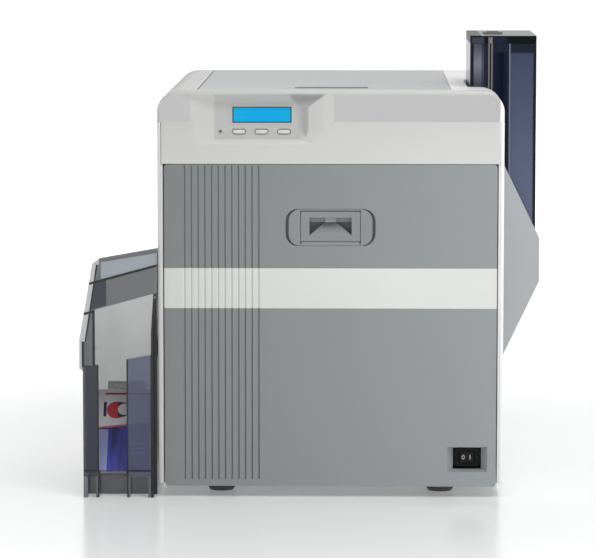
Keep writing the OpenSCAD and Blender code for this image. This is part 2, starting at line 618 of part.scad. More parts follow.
module hopper_cap() color("#2d3036") {
  difference() {
    union() {
      bx(hop_x0, hop_x1, hopper_y, hopper_y + hopper_d, cap_z, hopper_top - 1);
      bx(hop_x0 + 13, hop_x0 + 30, hopper_y + 30, hopper_y + 60, hopper_top - 1, hopper_top + 1);
    }
    bx(hop_x0 + 2, hop_x1 - 2, hopper_y + 2, hopper_y + hopper_d - 2, cap_z - 1, hopper_top - 3);
    bx(hop_x0 + 16, hop_x0 + 27, hopper_y + 34, hopper_y + 56, hopper_top, hopper_top + 2);
  }
  // lock that reaches down behind the front wall
  bx(lock_x0, hop_x1 - clear_t - play, hopper_y + clear_t + 1, hopper_y + 36, cap_z - lock_h,
      hopper_top - 2.9);
  // hinge lugs with their pins
  for (x = cap_lugs) {
    rod_x(cap_hy, cap_z, x - 2, x + 2, lug_r);
    rod_x(cap_hy, cap_z, x - 5.2, x + 5.2, 1);
    bx(x - 2, x + 2, hopper_y + hopper_d - 1, cap_hy, cap_z, cap_z + lug_r);
  }
}

cards_x = (hop_x0 + hop_x1) / 2;
cards_z1 = hop_z0 + 0.1 + hopper_cards * card_t;
module blank_cards() color("#eeeeec")
  translate([cards_x, path_y, hop_z0 + 0.1]) linear_extrude(hopper_cards * card_t)
      round_rect(card_w, card_l, 3.2);

module card_weight() color("#55585e") {
  bx(cards_x - card_w / 2 + 1, cards_x + card_w / 2 - 1, path_y - card_l / 2 + 0.5,
      path_y + card_l / 2 - 0.5, cards_z1 + play, cards_z1 + play + 4);
  bx(cards_x - 18, cards_x + 18, path_y - 25, path_y + 25, cards_z1 + play, cards_z1 + 22);
  bx(slot_x0 + 1, slot_x1 - 1, hopper_y - 0.5, hopper_y + 5, max(cards_z1 + play, hop_z0 + 31),
      max(cards_z1 + play, hop_z0 + 31) + 5);
  bx(slot_x0 + 1, slot_x1 - 1, hopper_y + 4, hopper_y + 12, cards_z1 + play, hop_z0 + 36);
}

// ---------------------------------------------------------------- stacker
stk_y0 = -stack_front; stk_y1 = stk_y0 + stack_d; st = 2;
stk_drop = 9;            // fall of the hood towards its left end
case_x = -hw - play;     // the stacker's hood and hooks reach the case
lip_z = [path_z - 85.5, path_z - 57.5];  // the left wall stands out between these heights
hood_x = stk_x0 + 16;    // left end of the hood's roof
module stacker_outline(d = 0) polygon([
  [stk_x0 + d, d], [stk_x0 + d, lip_z[0] + d], [stk_x0 - stk_lip + d, lip_z[0] + 2 + d],
      [stk_x0 - stk_lip + d, lip_z[1]],
  [stk_x0 + 9 + d, stack_h - 5], [hood_x + d, stack_h - d], [case_x - d, stack_h + stk_drop - d],
  [case_x - d, stack_h - 23.5], [stk_x1 - d, lip_z[1] + 5], [stk_x1 - d, d]]);
// everything above the roof, which falls towards the back
module over_roof(d = 0) translate([0, stk_y0, stack_h - d]) rotate([-roof_fall, 0, 0])
  front_view(-60, stack_d + 60) polygon([[stk_x0 - 12, -20], [stk_x0 + 9, -5], [hood_x, 0],
    [case_x + 5, stk_drop * (case_x + 5 - hood_x) / (case_x - hood_x)], [case_x + 5, 90],
        [stk_x0 - 12, 90]]);
post_h = path_z - 80; lean = 40; floor_z = 22;
open_z = stack_h - 46.5; // upper left corner of the open front
module stacker_body() color("#7c8290", 0.6) {
  stacker_shell();
  // the ramp behind the fallen cards, and the hooks that hang on the case
  translate([0, stk_y0 + 12, floor_z]) rotate([-lean, 0, 0]) {
    bx(stk_x0 + st - 0.1, stk_x1 - st + 0.1, card_t + 0.4, card_t + 2.4, -2, 62);
    bx(stk_x0 + 17, stk_x1 - 12, card_t + 0.4, card_t + 2.4, 61, 96);
  }
  for (y = [stk_y0 + 4, stk_y1 - 16]) bx(stk_x1 - 0.1, case_x, y, y + 12, path_z - 72,
      path_z - 56);
}
module stacker_shell() difference() {
  difference() {
    front_view(stk_y0, stk_y1) stacker_outline();
    over_roof();
  }
  difference() {
    front_view(stk_y0 + st, stk_y1 - st) intersection() {
      stacker_outline(st);
      translate([stk_x0 - 9, floor_z]) square([2 * stack_w, stack_h]);
    }
    over_roof(st);
  }
  // the open front over the posts, and the gap between them
  front_view(stk_y0 - 1, stk_y0 + 3) polygon([[stk_x0 + 11, post_h], [stk_x0 + 14, post_h],
      [stk_x0 + 14, floor_z + 2],
    [stk_x0 + 39, floor_z + 2], [stk_x0 + 39, post_h + 5], [stk_x1 - st, post_h + 9],
        [stk_x1 - st, lip_z[1] + 6],
    [case_x - st - 1.4, stack_h - 32], [stk_x0 + 11, open_z]]);
  // window of the hood, set back from its frame
  front_view(stk_y0 - 1, stk_y0 + 0.8) polygon([[hood_x + 0.5, open_z + 27], [case_x - 1, stack_h - 6.5],
    [case_x - 1, stack_h + stk_drop - 2], [hood_x + 0.5, stack_h - 1.5]]);
  front_view(stk_y0 + 10, stk_y1 - 10) polygon([[stk_x0 + st, -1], [stk_x0 + st, floor_z - 2.5],
      [stk_x1 - st, floor_z - 2.5], [stk_x1 - st, -1]]);
  // windows at the foot of the posts, and the floor's hollow front edge
  for (x = [[stk_x0 + 4, stk_x0 + 11], [stk_x0 + 14, stk_x0 + 39], [stk_x0 + 42, stk_x1 - 5]])
    bx(x[0], x[1], stk_y0 - 1, stk_y1 + 1, -1, floor_z - 2.5);
  translate([stk_x0 + 26.5, stk_y0 - 19, 0]) cylinder(r = 24, h = floor_z + 3);
  // the mouth that faces the card outlet
  bx(stk_x1 - st - 1, case_x + 1, path_y - card_l / 2 - 3, path_y + card_l / 2 + 1, path_z - 50,
      path_z + 4);
}

module printed_card() color("#5566b0")
  translate([stk_x0 + st + 1.5 + card_w / 2, stk_y0 + 12, floor_z + 0.8]) rotate([-lean, 0, 0])
    translate([0, card_t, card_l / 2]) rotate([90, 0, 0]) linear_extrude(card_t)
        round_rect(card_w, card_l, 3.2);

// ---------------------------------------------------------------- mechanism
low_r = 8; nip = card_t / 2 + 0.02;
drive_xs = [mech_x1 - 20, -25, mech_x0 + 18];      // right, middle and left nips
heat_x = -75; heat_r = 16; heat_z = path_z + nip + heat_r + 0.6;
back_r = 9; back_z = path_z - 0.9 - back_r;
platen = [0, path_z + 90]; platen_r = 10;
film_in = [-112, path_z + 122]; film_out = [-118, path_z + 62];
ribbon_in = [62, path_z + 118]; ribbon_out = [62, path_z + 62];
spool_r = 18; core_r = 9; axle_r = 4;
function low_z() = path_z - nip - low_r;
function high_z() = path_z + nip + low_r;

module bores(dx = 0) {
  for (i = [0, 2]) {
    rod_y(drive_xs[i], low_z(), 0, 300, 3 + fit);
    rod_y(drive_xs[i], high_z(), 0, 300, 3 + fit);
  }
  rod_y(heat_x, heat_z, 0, 300, 5 + fit);
  rod_y(heat_x, back_z, 0, 300, 3 + fit);
  rod_y(platen[0], platen[1], 0, 300, 3 + fit);
}

module mechanism_plate() color("#b9bcbf") difference() {
  bx(mech_x0, mech_x1, plate_y, plate_y + plate_t, foot_h + 2, top_z - 20);
  bores();
  for (i = [0 : 4], j = [0, 1]) if (i != 1) bx(mech_x0 + 12 + 50 * i, mech_x0 + 48 + 50 * i,
      plate_y - 1, plate_y + 5,
    foot_h + 21 + 50 * j, foot_h + 57 + 50 * j);
  for (b = bar_places) rod_y(b[0], b[1], 0, 300, 2);
}

bar_places = [[mech_x0 + 8, path_z - 32], [mech_x0 + 8, path_z + 24], [mech_x1 - 8, path_z - 32],
    [mech_x1 - 8, path_z + 24], [22, path_z + 24]];
module roller_plate() color("#b9bcbf") difference() {
  union() {
    bx(mech_x0, mech_x1, fplate_y, fplate_y + fplate_t, path_z - 38, path_z + 32);
    bx(platen[0] - 9, platen[0] + 9, fplate_y, fplate_y + fplate_t, path_z + 30, platen[1] + 9);
  }
  bores();
  for (b = bar_places) rod_y(b[0], b[1], 0, 300, 2);
}

module cross_bars() color("#d0d2d4") for (b = bar_places) {
  rod_y(b[0], b[1], fplate_y + fplate_t, plate_y, 4);
  rod_y(b[0], b[1], fplate_y - 1.5, plate_y + plate_t + 1.5, 2 - snug);
}

module roller(x, z, r, shaft, y_end = 2) {
  rod_y(x, z, path_y - card_l / 2 - 2, path_y + card_l / 2 + 4, r);
  rod_y(x, z, fplate_y - 1.5, plate_y + plate_t + y_end, shaft);
}
pulley_y = plate_y + plate_t + 1.5; pulley_r = 9;
module driven_roller(i) color("#3a3b3e") {
  roller(drive_xs[i], low_z(), low_r, 3, 12);
  rod_y(drive_xs[i], low_z(), pulley_y, pulley_y + 8, pulley_r);
}
module driven_roller_right() driven_roller(0);
module driven_roller_left() driven_roller(2);
module pinch_roller_right() color("#8c9196") roller(drive_xs[0], high_z(), low_r, 3);
module pinch_roller_left() color("#8c9196") roller(drive_xs[2], high_z(), low_r, 3);
module heat_roller() color("#7a4a3a") roller(heat_x, heat_z, heat_r, 5);
module backing_roller() color("#54565a") roller(heat_x, back_z, back_r, 3);
module platen_roller() color("#2e2f31") roller(platen[0], platen[1], platen_r, 3);

module drive_belt() color("#1f1f20") translate([0, 0, 0]) difference() {
  front_view(pulley_y + 1, pulley_y + 7) belt_shape(pulley_r + 1.6);
  front_view(pulley_y, pulley_y + 8) belt_shape(pulley_r + 0.3);
}
module belt_shape(r) {
  for (i = [0, 2]) translate([drive_xs[i], low_z()]) circle(r);
  translate([drive_xs[2], low_z() - r]) square([drive_xs[0] - drive_xs[2], 2 * r]);
}

motor_x = -60;
module feed_motor() color("#3b3d40") {
  translate([motor_x - 21, pulley_y + 12, path_z - 60 - 42]) cube([42, 38, 42]);
  bx(motor_x - 25, motor_x + 25, plate_y + plate_t, pulley_y + 12, path_z - 106, path_z - 56);
}

module spool(c) {
  rod_y(c[0], c[1], path_y - 45, path_y + 45, core_r);
  rod_y(c[0], c[1], path_y - 50, plate_y - 12 + 4, axle_r);
}
module cassette_plate(y, x0, x1, z0, z1, cs) difference() {
  bx(x0, x1, y, y + 2.5, z0, z1);
  for (c = cs) rod_y(c[0], c[1], 0, 300, axle_r + fit);
  bx(x1 - 50 + 12, x1 - 12, y - 1, y + 4, z0 + 35, z1 - 35);
}
cas_y0 = path_y - 50 + 1.5; cas_y1 = plate_y - 12;
film_box = [mech_x0, -38, path_z + 43, path_z + 145]; rib_box = [40, mech_x1, path_z + 43, path_z + 140];
module cassette_frame(b, cs) {
  cassette_plate(cas_y0, b[0], b[1], b[2], b[3], cs);
  cassette_plate(cas_y1, b[0], b[1], b[2], b[3], cs);
  for (x = [b[0] + 3, b[1] - 3], z = [b[2] + 3, b[3] - 3]) {
    rod_y(x, z, cas_y0 + 2.4, cas_y1 + 0.1, 3);
    rod_y(x, z, cas_y1 + 2.4, plate_y, 3);
  }
}
module film_cassette_frame() color("#6a7f96") cassette_frame(film_box, [film_in, film_out]);
module ribbon_cassette_frame() color("#8a6a86") cassette_frame(rib_box, [ribbon_in, ribbon_out]);
module film_supply_spool() color("#d9d4c0") { spool(film_in); rod_y(film_in[0], film_in[1], path_y - 44,
    path_y + 44, spool_r); }
module film_takeup_spool() color("#d9d4c0") { spool(film_out); rod_y(film_out[0], film_out[1],
    path_y - 44, path_y + 44, 12); }
module ribbon_supply_spool() color("#6b3f8a") { spool(ribbon_in); rod_y(ribbon_in[0], ribbon_in[1],
    path_y - 44, path_y + 44, spool_r - 3); }
module ribbon_takeup_spool() color("#6b3f8a") { spool(ribbon_out); rod_y(ribbon_out[0], ribbon_out[1],
    path_y - 44, path_y + 44, 12); }

// a thin web along a run of points, with round joints
module web(ps, t) for (i = [0 : len(ps) - 2]) {
  d = ps[i + 1] - ps[i];
  translate(ps[i]) rotate(atan2(d[1], d[0])) translate([0, -t / 2]) square([norm(d), t]);
  translate(ps[i]) circle(t / 2, $fn = 8);
}
function arc(c, r, a0, a1, n) = [for (i = [0 : (a0 == a1 ? 0 : n)])
    c + r * [cos(a0 + (a1 - a0) * i / n), sin(a0 + (a1 - a0) * i / n)]];
// where a web that runs clockwise leaves circle a (centre, radius) for circle b
function leaves(a, ra, b, rb) = atan2(b[1] - a[1], b[0] - a[0]) + acos((ra - rb) / norm(b - a));
heat_c = [heat_x, heat_z];
in_r = spool_r + 0.8; platen_wr = platen_r + 0.8; heat_wr = heat_r + 0.6; out_r = 12.8;
a_in = leaves(film_in, in_r, platen, platen_wr);
a_mid = leaves(platen, platen_wr, heat_c, heat_wr);
a_out = leaves(heat_c, heat_wr, film_out, out_r) - 360;
module film_web() color("#c8b68a") front_view(path_y - 43, path_y + 43) web(concat(
  arc(film_in, in_r, a_in, a_in, 1), arc(platen, platen_wr, a_in, a_mid, 8),
  arc(heat_c, heat_wr, a_mid, a_out, 8), arc(film_out, out_r, a_out, a_out, 1)), 0.4);

head_x = platen[0] + platen_r + 2.2;
module print_head() color("#9a9da0") difference() {
  union() {
    bx(head_x, head_x + 14, path_y - 46, path_y + 46, platen[1] - 12, platen[1] + 12);
    bx(head_x + 4, head_x + 14, path_y + 45, plate_y, platen[1] - 8, platen[1] + 8);
  }
  for (i = [0 : 7]) bx(head_x + 7, head_x + 15, path_y - 47, path_y + 40, platen[1] - 11 + 3 * i,
      platen[1] - 9.5 + 3 * i);
}

// ---------------------------------------------------------------- electrics
module main_board() color("#2d6a45") {
  bx(-125, 5, rear_y - 14, rear_y - 12.4, 60, 220);
  for (x = [-120, 0], z = [65, 215]) rod_y(x, z, rear_y - 12.4, rear_y, 3);
  for (i = [0, 1]) difference() {
    bx(20 + 26 * i - 6.5, 20 + 26 * i + 6.5, rear_y - 12.1, body_d - 0.5, 114.5, 125.5);
    bx(20 + 26 * i - 5, 20 + 26 * i + 5, rear_y - 8, body_d, 116, 124);
  }
  bx(0, 60, rear_y - 14, rear_y - 12, 108, 132);
  for (p = [[-100, 90], [-70, 180], [-40, 120]]) bx(p[0], p[0] + 20, rear_y - 20, rear_y - 13.9, p[1],
      p[1] + 20);
}

module power_supply() color("#aeb2b5") difference() {
  union() {
    bx(30, 130, 215, rear_y - 40, foot_h + 2, foot_h + 52);
    bx(inlet_x - 13.5, inlet_x + 13.5, rear_y - 30, body_d - 0.5, inlet_z - 9.5, inlet_z + 9.5);
    bx(inlet_x - 10, inlet_x + 10, rear_y - 60, rear_y - 29, inlet_z - 12, inlet_z + 4);
  }
  for (i = [0 : 7]) bx(40 + 10 * i, 44 + 10 * i, 225, 300, foot_h + 50, foot_h + 53);
  bx(inlet_x - 11, inlet_x + 11, body_d - 12, body_d + 1, inlet_z - 7, inlet_z + 7);
}

module fan_frame() color("#232427") difference() {
  bx(fan_x - fan_w / 2, fan_x + fan_w / 2, rear_y - 15, rear_y, fan_z - fan_w / 2, fan_z + fan_w / 2);
  difference() {
    rod_y(fan_x, fan_z, rear_y - 16, rear_y + 1, fan_w / 2 - 2);
    rod_y(fan_x, fan_z, rear_y - 3, rear_y + 1, 11);
    for (a = [45 : 90 : 315]) translate([fan_x, 0, fan_z]) rotate([0, a, 0])
        bx(-2, 2, rear_y - 2, rear_y, 0, fan_w / 2);
  }
  rod_y(fan_x, fan_z, rear_y - 16, rear_y + 1, 1.5 + fit);
}

module fan_rotor() color("#2e3034") translate([fan_x, 0, fan_z]) {
  rod_y(0, 0, rear_y - 14, rear_y - 3.3, 11);
  rod_y(0, 0, rear_y - 4, rear_y - 0.5, 1.5);
  for (a = [0 : 360 / 7 : 359]) rotate([0, a, 0]) translate([0, rear_y - 13, 10]) rotate([0, 0, 35])
      cube([1.5, 9, 16]);
}

place() base_pan();
place() rubber_feet();
place() left_side_cover();
place() right_side_cover();
place() rear_cover();
place() front_bezel();
place() inner_front_frame();
place() front_door();
place() door_band();
place() door_hinge_brackets();
place() door_hinge_pins();
place() latch_surround();
place() door_latch();
place() latch_strike();
place() display_window();
place() display_module();
place() panel_board();
place() button_left();
place() button_middle();
place() button_right();
place() status_light();
place() switch_body();
place() switch_rocker();
place() top_cover();
place() lid_hinge_brackets();
place() lid_hinge_pins();
place() gusset_housing();
place() hopper_bay();
place() pick_tray();
place() pick_roller();
place() hopper_body();
place() hopper_cap();
place() card_weight();
place() blank_cards();
place() stacker_body();
place() printed_card();
place() mechanism_plate();
place() roller_plate();
place() cross_bars();
place() driven_roller_right();
place() driven_roller_left();
place() pinch_roller_right();
place() pinch_roller_left();
place() heat_roller();
place() backing_roller();
place() platen_roller();
place() drive_belt();
place() feed_motor();
place() film_cassette_frame();
place() film_supply_spool();
place() film_takeup_spool();
place() film_web();
place() ribbon_cassette_frame();
place() ribbon_supply_spool();
place() ribbon_takeup_spool();
place() print_head();
place() main_board();
place() power_supply();
place() fan_frame();
place() fan_rotor();
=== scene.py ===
"""Looks of a desktop retransfer id card printer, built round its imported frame.

Lengths in this file are millimetres from the middle of the case (x), its front face (y, going
back) and the table (z); place() turns them into metres in the frame.
"""

import math

import bpy
import bmesh
import numpy as np
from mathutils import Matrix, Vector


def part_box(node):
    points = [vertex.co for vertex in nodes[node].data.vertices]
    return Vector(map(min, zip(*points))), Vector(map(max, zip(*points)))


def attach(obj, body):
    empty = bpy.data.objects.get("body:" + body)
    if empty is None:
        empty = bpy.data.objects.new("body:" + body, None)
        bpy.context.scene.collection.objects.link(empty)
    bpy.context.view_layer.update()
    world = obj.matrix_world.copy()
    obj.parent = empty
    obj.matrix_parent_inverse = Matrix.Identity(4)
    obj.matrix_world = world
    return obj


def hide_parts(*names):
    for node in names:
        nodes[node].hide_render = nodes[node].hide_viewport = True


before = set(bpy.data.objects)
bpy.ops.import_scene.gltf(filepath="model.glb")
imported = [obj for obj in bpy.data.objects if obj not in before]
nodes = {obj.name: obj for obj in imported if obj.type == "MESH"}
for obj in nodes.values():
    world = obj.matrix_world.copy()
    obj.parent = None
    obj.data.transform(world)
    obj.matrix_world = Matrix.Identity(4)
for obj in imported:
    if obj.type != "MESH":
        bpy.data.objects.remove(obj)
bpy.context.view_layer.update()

# ------------------------------------------------------------------ room and camera
# The printer stands on a pale glossy table in a white studio. The photograph was taken with a
# long lens from a little above and to the right of the middle of the front.
MM = 0.001
CASE_MIDDLE = (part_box("rear_cover")[0].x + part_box("rear_cover")[1].x) / 2
FRONT_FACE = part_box("front_door")[0].y


def place(points):
    """Millimetres from the case's middle, front face and table, as metres in the frame."""
    return np.asarray(points, float) * MM + (CASE_MIDDLE, FRONT_FACE, 0)


class Wire:
    """One output of a shader node. Python arithmetic and comparisons on it add Math nodes."""

    def __init__(self, finish, socket):
        self.finish, self.socket = finish, socket

    def __add__(self, other):
        return self.finish.calc("ADD", self, other)

    def __sub__(self, other):
        return self.finish.calc("SUBTRACT", self, other)

    def __rsub__(self, other):
        return self.finish.calc("SUBTRACT", other, self)

    def __mul__(self, other):
        return self.finish.calc("MULTIPLY", self, other)

    def __gt__(self, other):
        return self.finish.calc("GREATER_THAN", self, other)

    def __lt__(self, other):
        return self.finish.calc("LESS_THAN", self, other)

    __radd__, __rmul__ = __add__, __mul__

    def between(self, low, high):
        """1 between two values and 0 elsewhere."""
        return (self > low) * (self < high)

    def past(self, limit, soft=0.5):
        """0 below the limit and 1 above it, blended over twice the soft distance."""
        return self.finish.span(self, limit - soft, limit + soft)

    def below(self, limit, soft=0.5):
        """1 below the limit and 0 above it, blended over twice the soft distance."""
        return self.finish.span(self, limit + soft, limit - soft)


class Finish:
    """A material under construction: add() makes any node, the rest are common patterns."""

    def __init__(self, name):
        self.material = bpy.data.materials.new(name)
        self.material.use_nodes = True
        self.tree = self.material.node_tree
        self.tree.nodes.clear()

    def add(self, kind, settings=None, inputs=None, out=0):
        """One output of a new node with these settings, and values or wires on its inputs."""
        node = self.tree.nodes.new(kind)
        for key, value in (settings or {}).items():
            setattr(node, key, value)
        for key, value in (inputs or {}).items():
            if isinstance(value, Wire):
                self.tree.links.new(value.socket, node.inputs[key])
            else:
                node.inputs[key].default_value = value
        return Wire(self, node.outputs[out])

    def calc(self, operation, *values):
        """A Math node's result."""
        return self.add("ShaderNodeMath", {"operation": operation}, dict(enumerate(values)))

    def span(self, value, start, end, **settings):
        """The value's share of the way from start to end, kept within 0 and 1."""
        return self.add("ShaderNodeMapRange", settings,
                        {"Value": value, "From Min": start, "From Max": end})

    def where(self):
        """The point's place in the object's own frame, in metres."""
        return self.add("ShaderNodeTexCoord", out="Object")

    def axes(self):
        """The x, y and z of the point, in millimetres from place()'s origin, as three wires."""
        outputs = self.add("ShaderNodeSeparateXYZ", inputs={0: self.where()}).socket.node.outputs
        x, y, z = (Wire(self, outputs[i]) for i in range(3))
        return (x - CASE_MIDDLE) * (1 / MM), (y - FRONT_FACE) * (1 / MM), z * (1 / MM)

    def noise(self, scale, detail, stretch=(1, 1, 1)):
        """Noise from 0 to 1 about 0.5, with scale as its waves per metre."""
        spot = self.add("ShaderNodeMapping", {}, {0: self.where(), "Scale": stretch})
        return self.add("ShaderNodeTexNoise", {},
                        {"Vector": spot, "Scale": scale, "Detail": detail})

    def mix(self, share, a, b):
        """A mix of two colours, each a wire or a tuple of three numbers."""
        a, b = ((*c, 1) if isinstance(c, tuple) else c for c in (a, b))
        return self.add("ShaderNodeMix", {"data_type": "RGBA"}, {0: share, 6: a, 7: b}, out=2)

    def bump(self, height, distance, strength):
        """A normal tilted by a height of 0 to 1, which stands for a distance in metres."""
        return self.add("ShaderNodeBump", {},
                        {"Height": height, "Distance": distance, "Strength": strength})

    def surface(self, **sockets):
        """Closes the material with a Principled shader whose sockets are given by name."""
        named = {key.replace("_", " "): value for key, value in sockets.items()}
        shader = self.add("ShaderNodeBsdfPrincipled", {}, named)
        end = self.tree.nodes.new("ShaderNodeOutputMaterial")
        self.tree.links.new(shader.socket, end.inputs["Surface"])
        return self.material


def linear(red, green, blue):
    """A colour read in 0 to 255 screen values, as the linear colour that a shader takes."""
    c = np.array([red, green, blue]) / 255
    curve = np.where(c > 0.04045, ((c + 0.055) / 1.055) ** 2.4, c / 12.92)
    return tuple(float(v) for v in curve)


def table_top():
    """Pale glossy laminate with painted light: a glow keeps it white, and it is weaker near the
    printer as painted shade round it, by smoothstep(r) of the distance r from the printer's middle."""
    f = Finish("table_laminate")
    cloud = f.noise(0.6, 1)
    tone = f.mix(cloud, linear(228, 229, 229), linear(236, 237, 236))
    x, y, z = f.axes()
    y = y - 170
    far = f.calc("SQRT", x * x + y * y + z * z * 0.5)
    share = f.span(far, 230.0, 1500.0, interpolation_type="SMOOTHSTEP")
    # painted light on the floor, fading to painted shade near the printer
    glow = f.mix(share, (0.2, 0.202, 0.201), (0.62, 0.625, 0.62))
    return f.surface(Base_Color=tone, Roughness=cloud * 0.02 + 0.17, Specular_IOR_Level=0.3,
                     Emission_Color=glow, Emission_Strength=1.0)


def add_object(name, data):
    """A new object in the scene, at the origin."""
    obj = bpy.data.objects.new(name, data)
    bpy.context.scene.collection.objects.link(obj)
    return obj


def mesh_object(name, points, faces, material):
    """An object at the origin with its vertices placed in the frame."""
    mesh = bpy.data.meshes.new(name)
    mesh.from_pydata(place(points).tolist(), [], faces)
    mesh.update()
    mesh.materials.append(material)
    return add_object(name, mesh)


def shade_smooth(obj):
    """Shades across the edges between faces."""
    obj.data.polygons.foreach_set("use_smooth", [True] * len(obj.data.polygons))


def studio():
    """Floor that runs up into a backdrop: y = R sin t, z = R (1 - cos t) behind a flat stretch."""
    radius, reach, width, height = 2600.0, 4300.0, 17000.0, 14400.0
    t = np.linspace(0, math.pi / 2, 24)
    y = np.concatenate([[-width, reach], reach + radius * np.sin(t)[1:], [reach + radius]])
    z = np.concatenate([[0, 0], radius * (1 - np.cos(t))[1:], [height]])
    n = len(y)
    points = np.stack([np.repeat([-width, width], n), np.tile(y, 2), np.tile(z, 2)], -1)
    quads = [[i, i + n, i + n + 1, i + 1] for i in range(n - 1)]
    floor = mesh_object("studio_floor", points, quads, table_top())
    shade_smooth(floor)


def lamp(name, spot, aim, size, watts):
    """A soft rectangular lamp at one point that shines towards another."""
    light = bpy.data.lights.new(name, "AREA")
    light.shape, light.size, light.size_y, light.energy = "RECTANGLE", size[0], size[1], watts
    obj = add_object(name, light)
    start, end = (Vector(place(p)) for p in (spot, aim))
    obj.location = start
    obj.rotation_euler = (end - start).to_track_quat("-Z", "Y").to_euler()


def photographer():
    """The camera: the photo's lines that run back meet at one pixel, which gives the sight line
    through the middle of the picture."""
    eye = (30.1, -2973.8, 532.6)
    focal_px, image_w, image_h = 3360.8, 595.0, 558.0
    meeting = (364.7, -100.4)
    sight = ((image_w / 2 - meeting[0]) / focal_px, 1.0, (meeting[1] - image_h / 2) / focal_px)
    camera = bpy.data.cameras.new("camera")
    camera.sensor_width = 36.0
    camera.lens = focal_px / image_w * camera.sensor_width
    camera.clip_start, camera.clip_end = 0.1, 50
    obj = add_object("camera", camera)
    obj.location = Vector(place(eye))
    obj.rotation_euler = Vector(sight).to_track_quat("-Z", "Y").to_euler()
    bpy.context.scene.camera = obj


def daylight():
    """A white room: the world lights evenly and dimly, and looks pale to the camera and in
    glossy or clear surfaces."""
    world = bpy.data.worlds.new("studio")
    bpy.context.scene.world = world
    world.use_nodes = True
    tree = world.node_tree
    tree.nodes.clear()
    path = tree.nodes.new("ShaderNodeLightPath")
    plain, lit = (tree.nodes.new("ShaderNodeBackground") for _ in range(2))
    for shade, colour, strength in ((lit, (1, 1, 1), 0.17), (plain, (0.98, 0.985, 0.98), 0.6)):
        shade.inputs["Color"].default_value = (*colour, 1)
        shade.inputs["Strength"].default_value = strength
    seen, either = (tree.nodes.new("ShaderNodeMath") for _ in range(2))
    seen.operation = either.operation = "MAXIMUM"
    choose = tree.nodes.new("ShaderNodeMixShader")
    out = tree.nodes.new("ShaderNodeOutputWorld")
    join = tree.links.new
    join(path.outputs["Is Camera Ray"], seen.inputs[0])
    join(path.outputs["Is Glossy Ray"], seen.inputs[1])
    join(seen.outputs[0], either.inputs[0])
    join(path.outputs["Is Transmission Ray"], either.inputs[1])
    join(either.outputs[0], choose.inputs[0])
    join(lit.outputs[0], choose.inputs[1])
    join(plain.outputs[0], choose.inputs[2])
    join(choose.outputs[0], out.inputs[0])


bpy.context.scene.view_settings.view_transform = "Standard"
studio()
daylight()
photographer()
lamp("key_softbox", (900, -1300, 2500), (0, 40, 200), (1.0, 0.9), 22)
lamp("top_softbox", (-300, -700, 2300), (0, 100, 200), (1.2, 1.0), 11)
lamp("side_softbox", (2300, -500, 600), (150, 100, 200), (1.4, 1.6), 13)
lamp("front_softbox", (200, -2900, 1100), (0, 0, 200), (1.6, 1.2), 5)
lamp("fill_softbox", (-1700, -1500, 800), (0, 100, 180), (1.2, 1.4), 1.5)

# ------------------------------------------------------------------ side covers, rear cover
# Injection-moulded shells in off-white ABS with a fine spark-eroded texture. Each side cover
# rolls over its shoulder to meet the lid; they screw to the base pan and the rear cover.
HALF_W, DOOR_SIDE, CASE_TOP, CORNER = 154.0, 150.6, 365.0, 20.0
CREASE_Z, FRAME_Z0, SHOULDER_Z = CASE_TOP - 28.0, CASE_TOP - 65.5, CASE_TOP - 19.0
BLACK, GRAIN = (0, 0, 0), 0.00004


def moulded(name, colour, rough=0.5, grain=GRAIN, coat=0.0):
    """Moulded plastic: fine eroded grain in the bump, and a slow drift in shade and gloss."""
    f = Finish(name)
    slow, fine = f.noise(11, 3), f.noise(2600, 2)
    darker = tuple(c * 0.93 for c in colour)
    return f.surface(
        Base_Color=f.mix(slow * 0.7 + fine * 0.3, darker, colour),
        Roughness=slow * 0.1 + (rough - 0.05), Coat_Weight=coat, Coat_Roughness=0.25,
        Normal=f.bump(fine, grain, 0.6))


def extrude(name, outline, near, far, material):
    """A plate: a closed outline (x, z) carried straight back from y = near to y = far."""
    outline = np.asarray(outline, float)
    n = len(outline)
    points = np.insert(np.tile(outline, (2, 1)), 1, np.repeat([near, far], n), axis=1)
    i = np.arange(n)
    j = (i + 1) % n
    sides = np.stack([i, j, j + n, i + n], 1).tolist()
    obj = mesh_object(name, points, [i[::-1].tolist(), (i + n).tolist(), *sides], material)
    outward(obj)
    return obj


def outward(obj):
    """Turns every face to look outwards."""
    shape = bmesh.new()
    shape.from_mesh(obj.data)
    bmesh.ops.recalc_face_normals(shape, faces=shape.faces)
    shape.to_mesh(obj.data)
    shape.free()


def strip(name, low, high, material):
    """A straight strip between two corners."""
    (x0, y0, z0), (x1, y1, z1) = low, high
    return extrude(name, [(x0, z0), (x1, z0), (x1, z1), (x0, z1)], y0, y1, material)


def quarter(cu, cv, radius, start):
    """Points on a circle: centre + radius (cos t, sin t), for 90 degrees of t from the start."""
    t = np.radians(np.linspace(start, start + 90, 7))
    return np.stack([cu + radius * np.cos(t), cv + radius * np.sin(t)], 1)


def rounded(cu, cv, width, height, radius):
    """A rectangle with round corners: a quarter circle about each corner's centre."""
    a, b = width / 2 - radius, height / 2 - radius
    corners = ((1, 1, 0), (-1, 1, 90), (-1, -1, 180), (1, -1, 270))
    return np.concatenate([quarter(cu + su * a, cv + sv * b, radius, t) for su, sv, t in corners])


def ease(obj, radius):
    """Rounds the edges as a mould does, and shades the faces between them flat."""
    shade_smooth(obj)
    bevel = obj.modifiers.new("eased_edges", "BEVEL")
    bevel.width, bevel.segments, bevel.limit_method = radius * MM, 2, "ANGLE"
    bevel.angle_limit, bevel.miter_outer = math.radians(32), "MITER_ARC"
    flat = obj.modifiers.new("flat_faces", "WEIGHTED_NORMAL")
    flat.mode, flat.weight, flat.keep_sharp = "FACE_AREA_WITH_ANGLE", 100, True
    return obj


def fit(obj, body, slot, *stands_for):
    """Puts a finished piece on its body and hides the solids that it stands for; the slot is not
    used.
    """
    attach(obj, body)
    if stands_for:
        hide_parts(*stands_for)


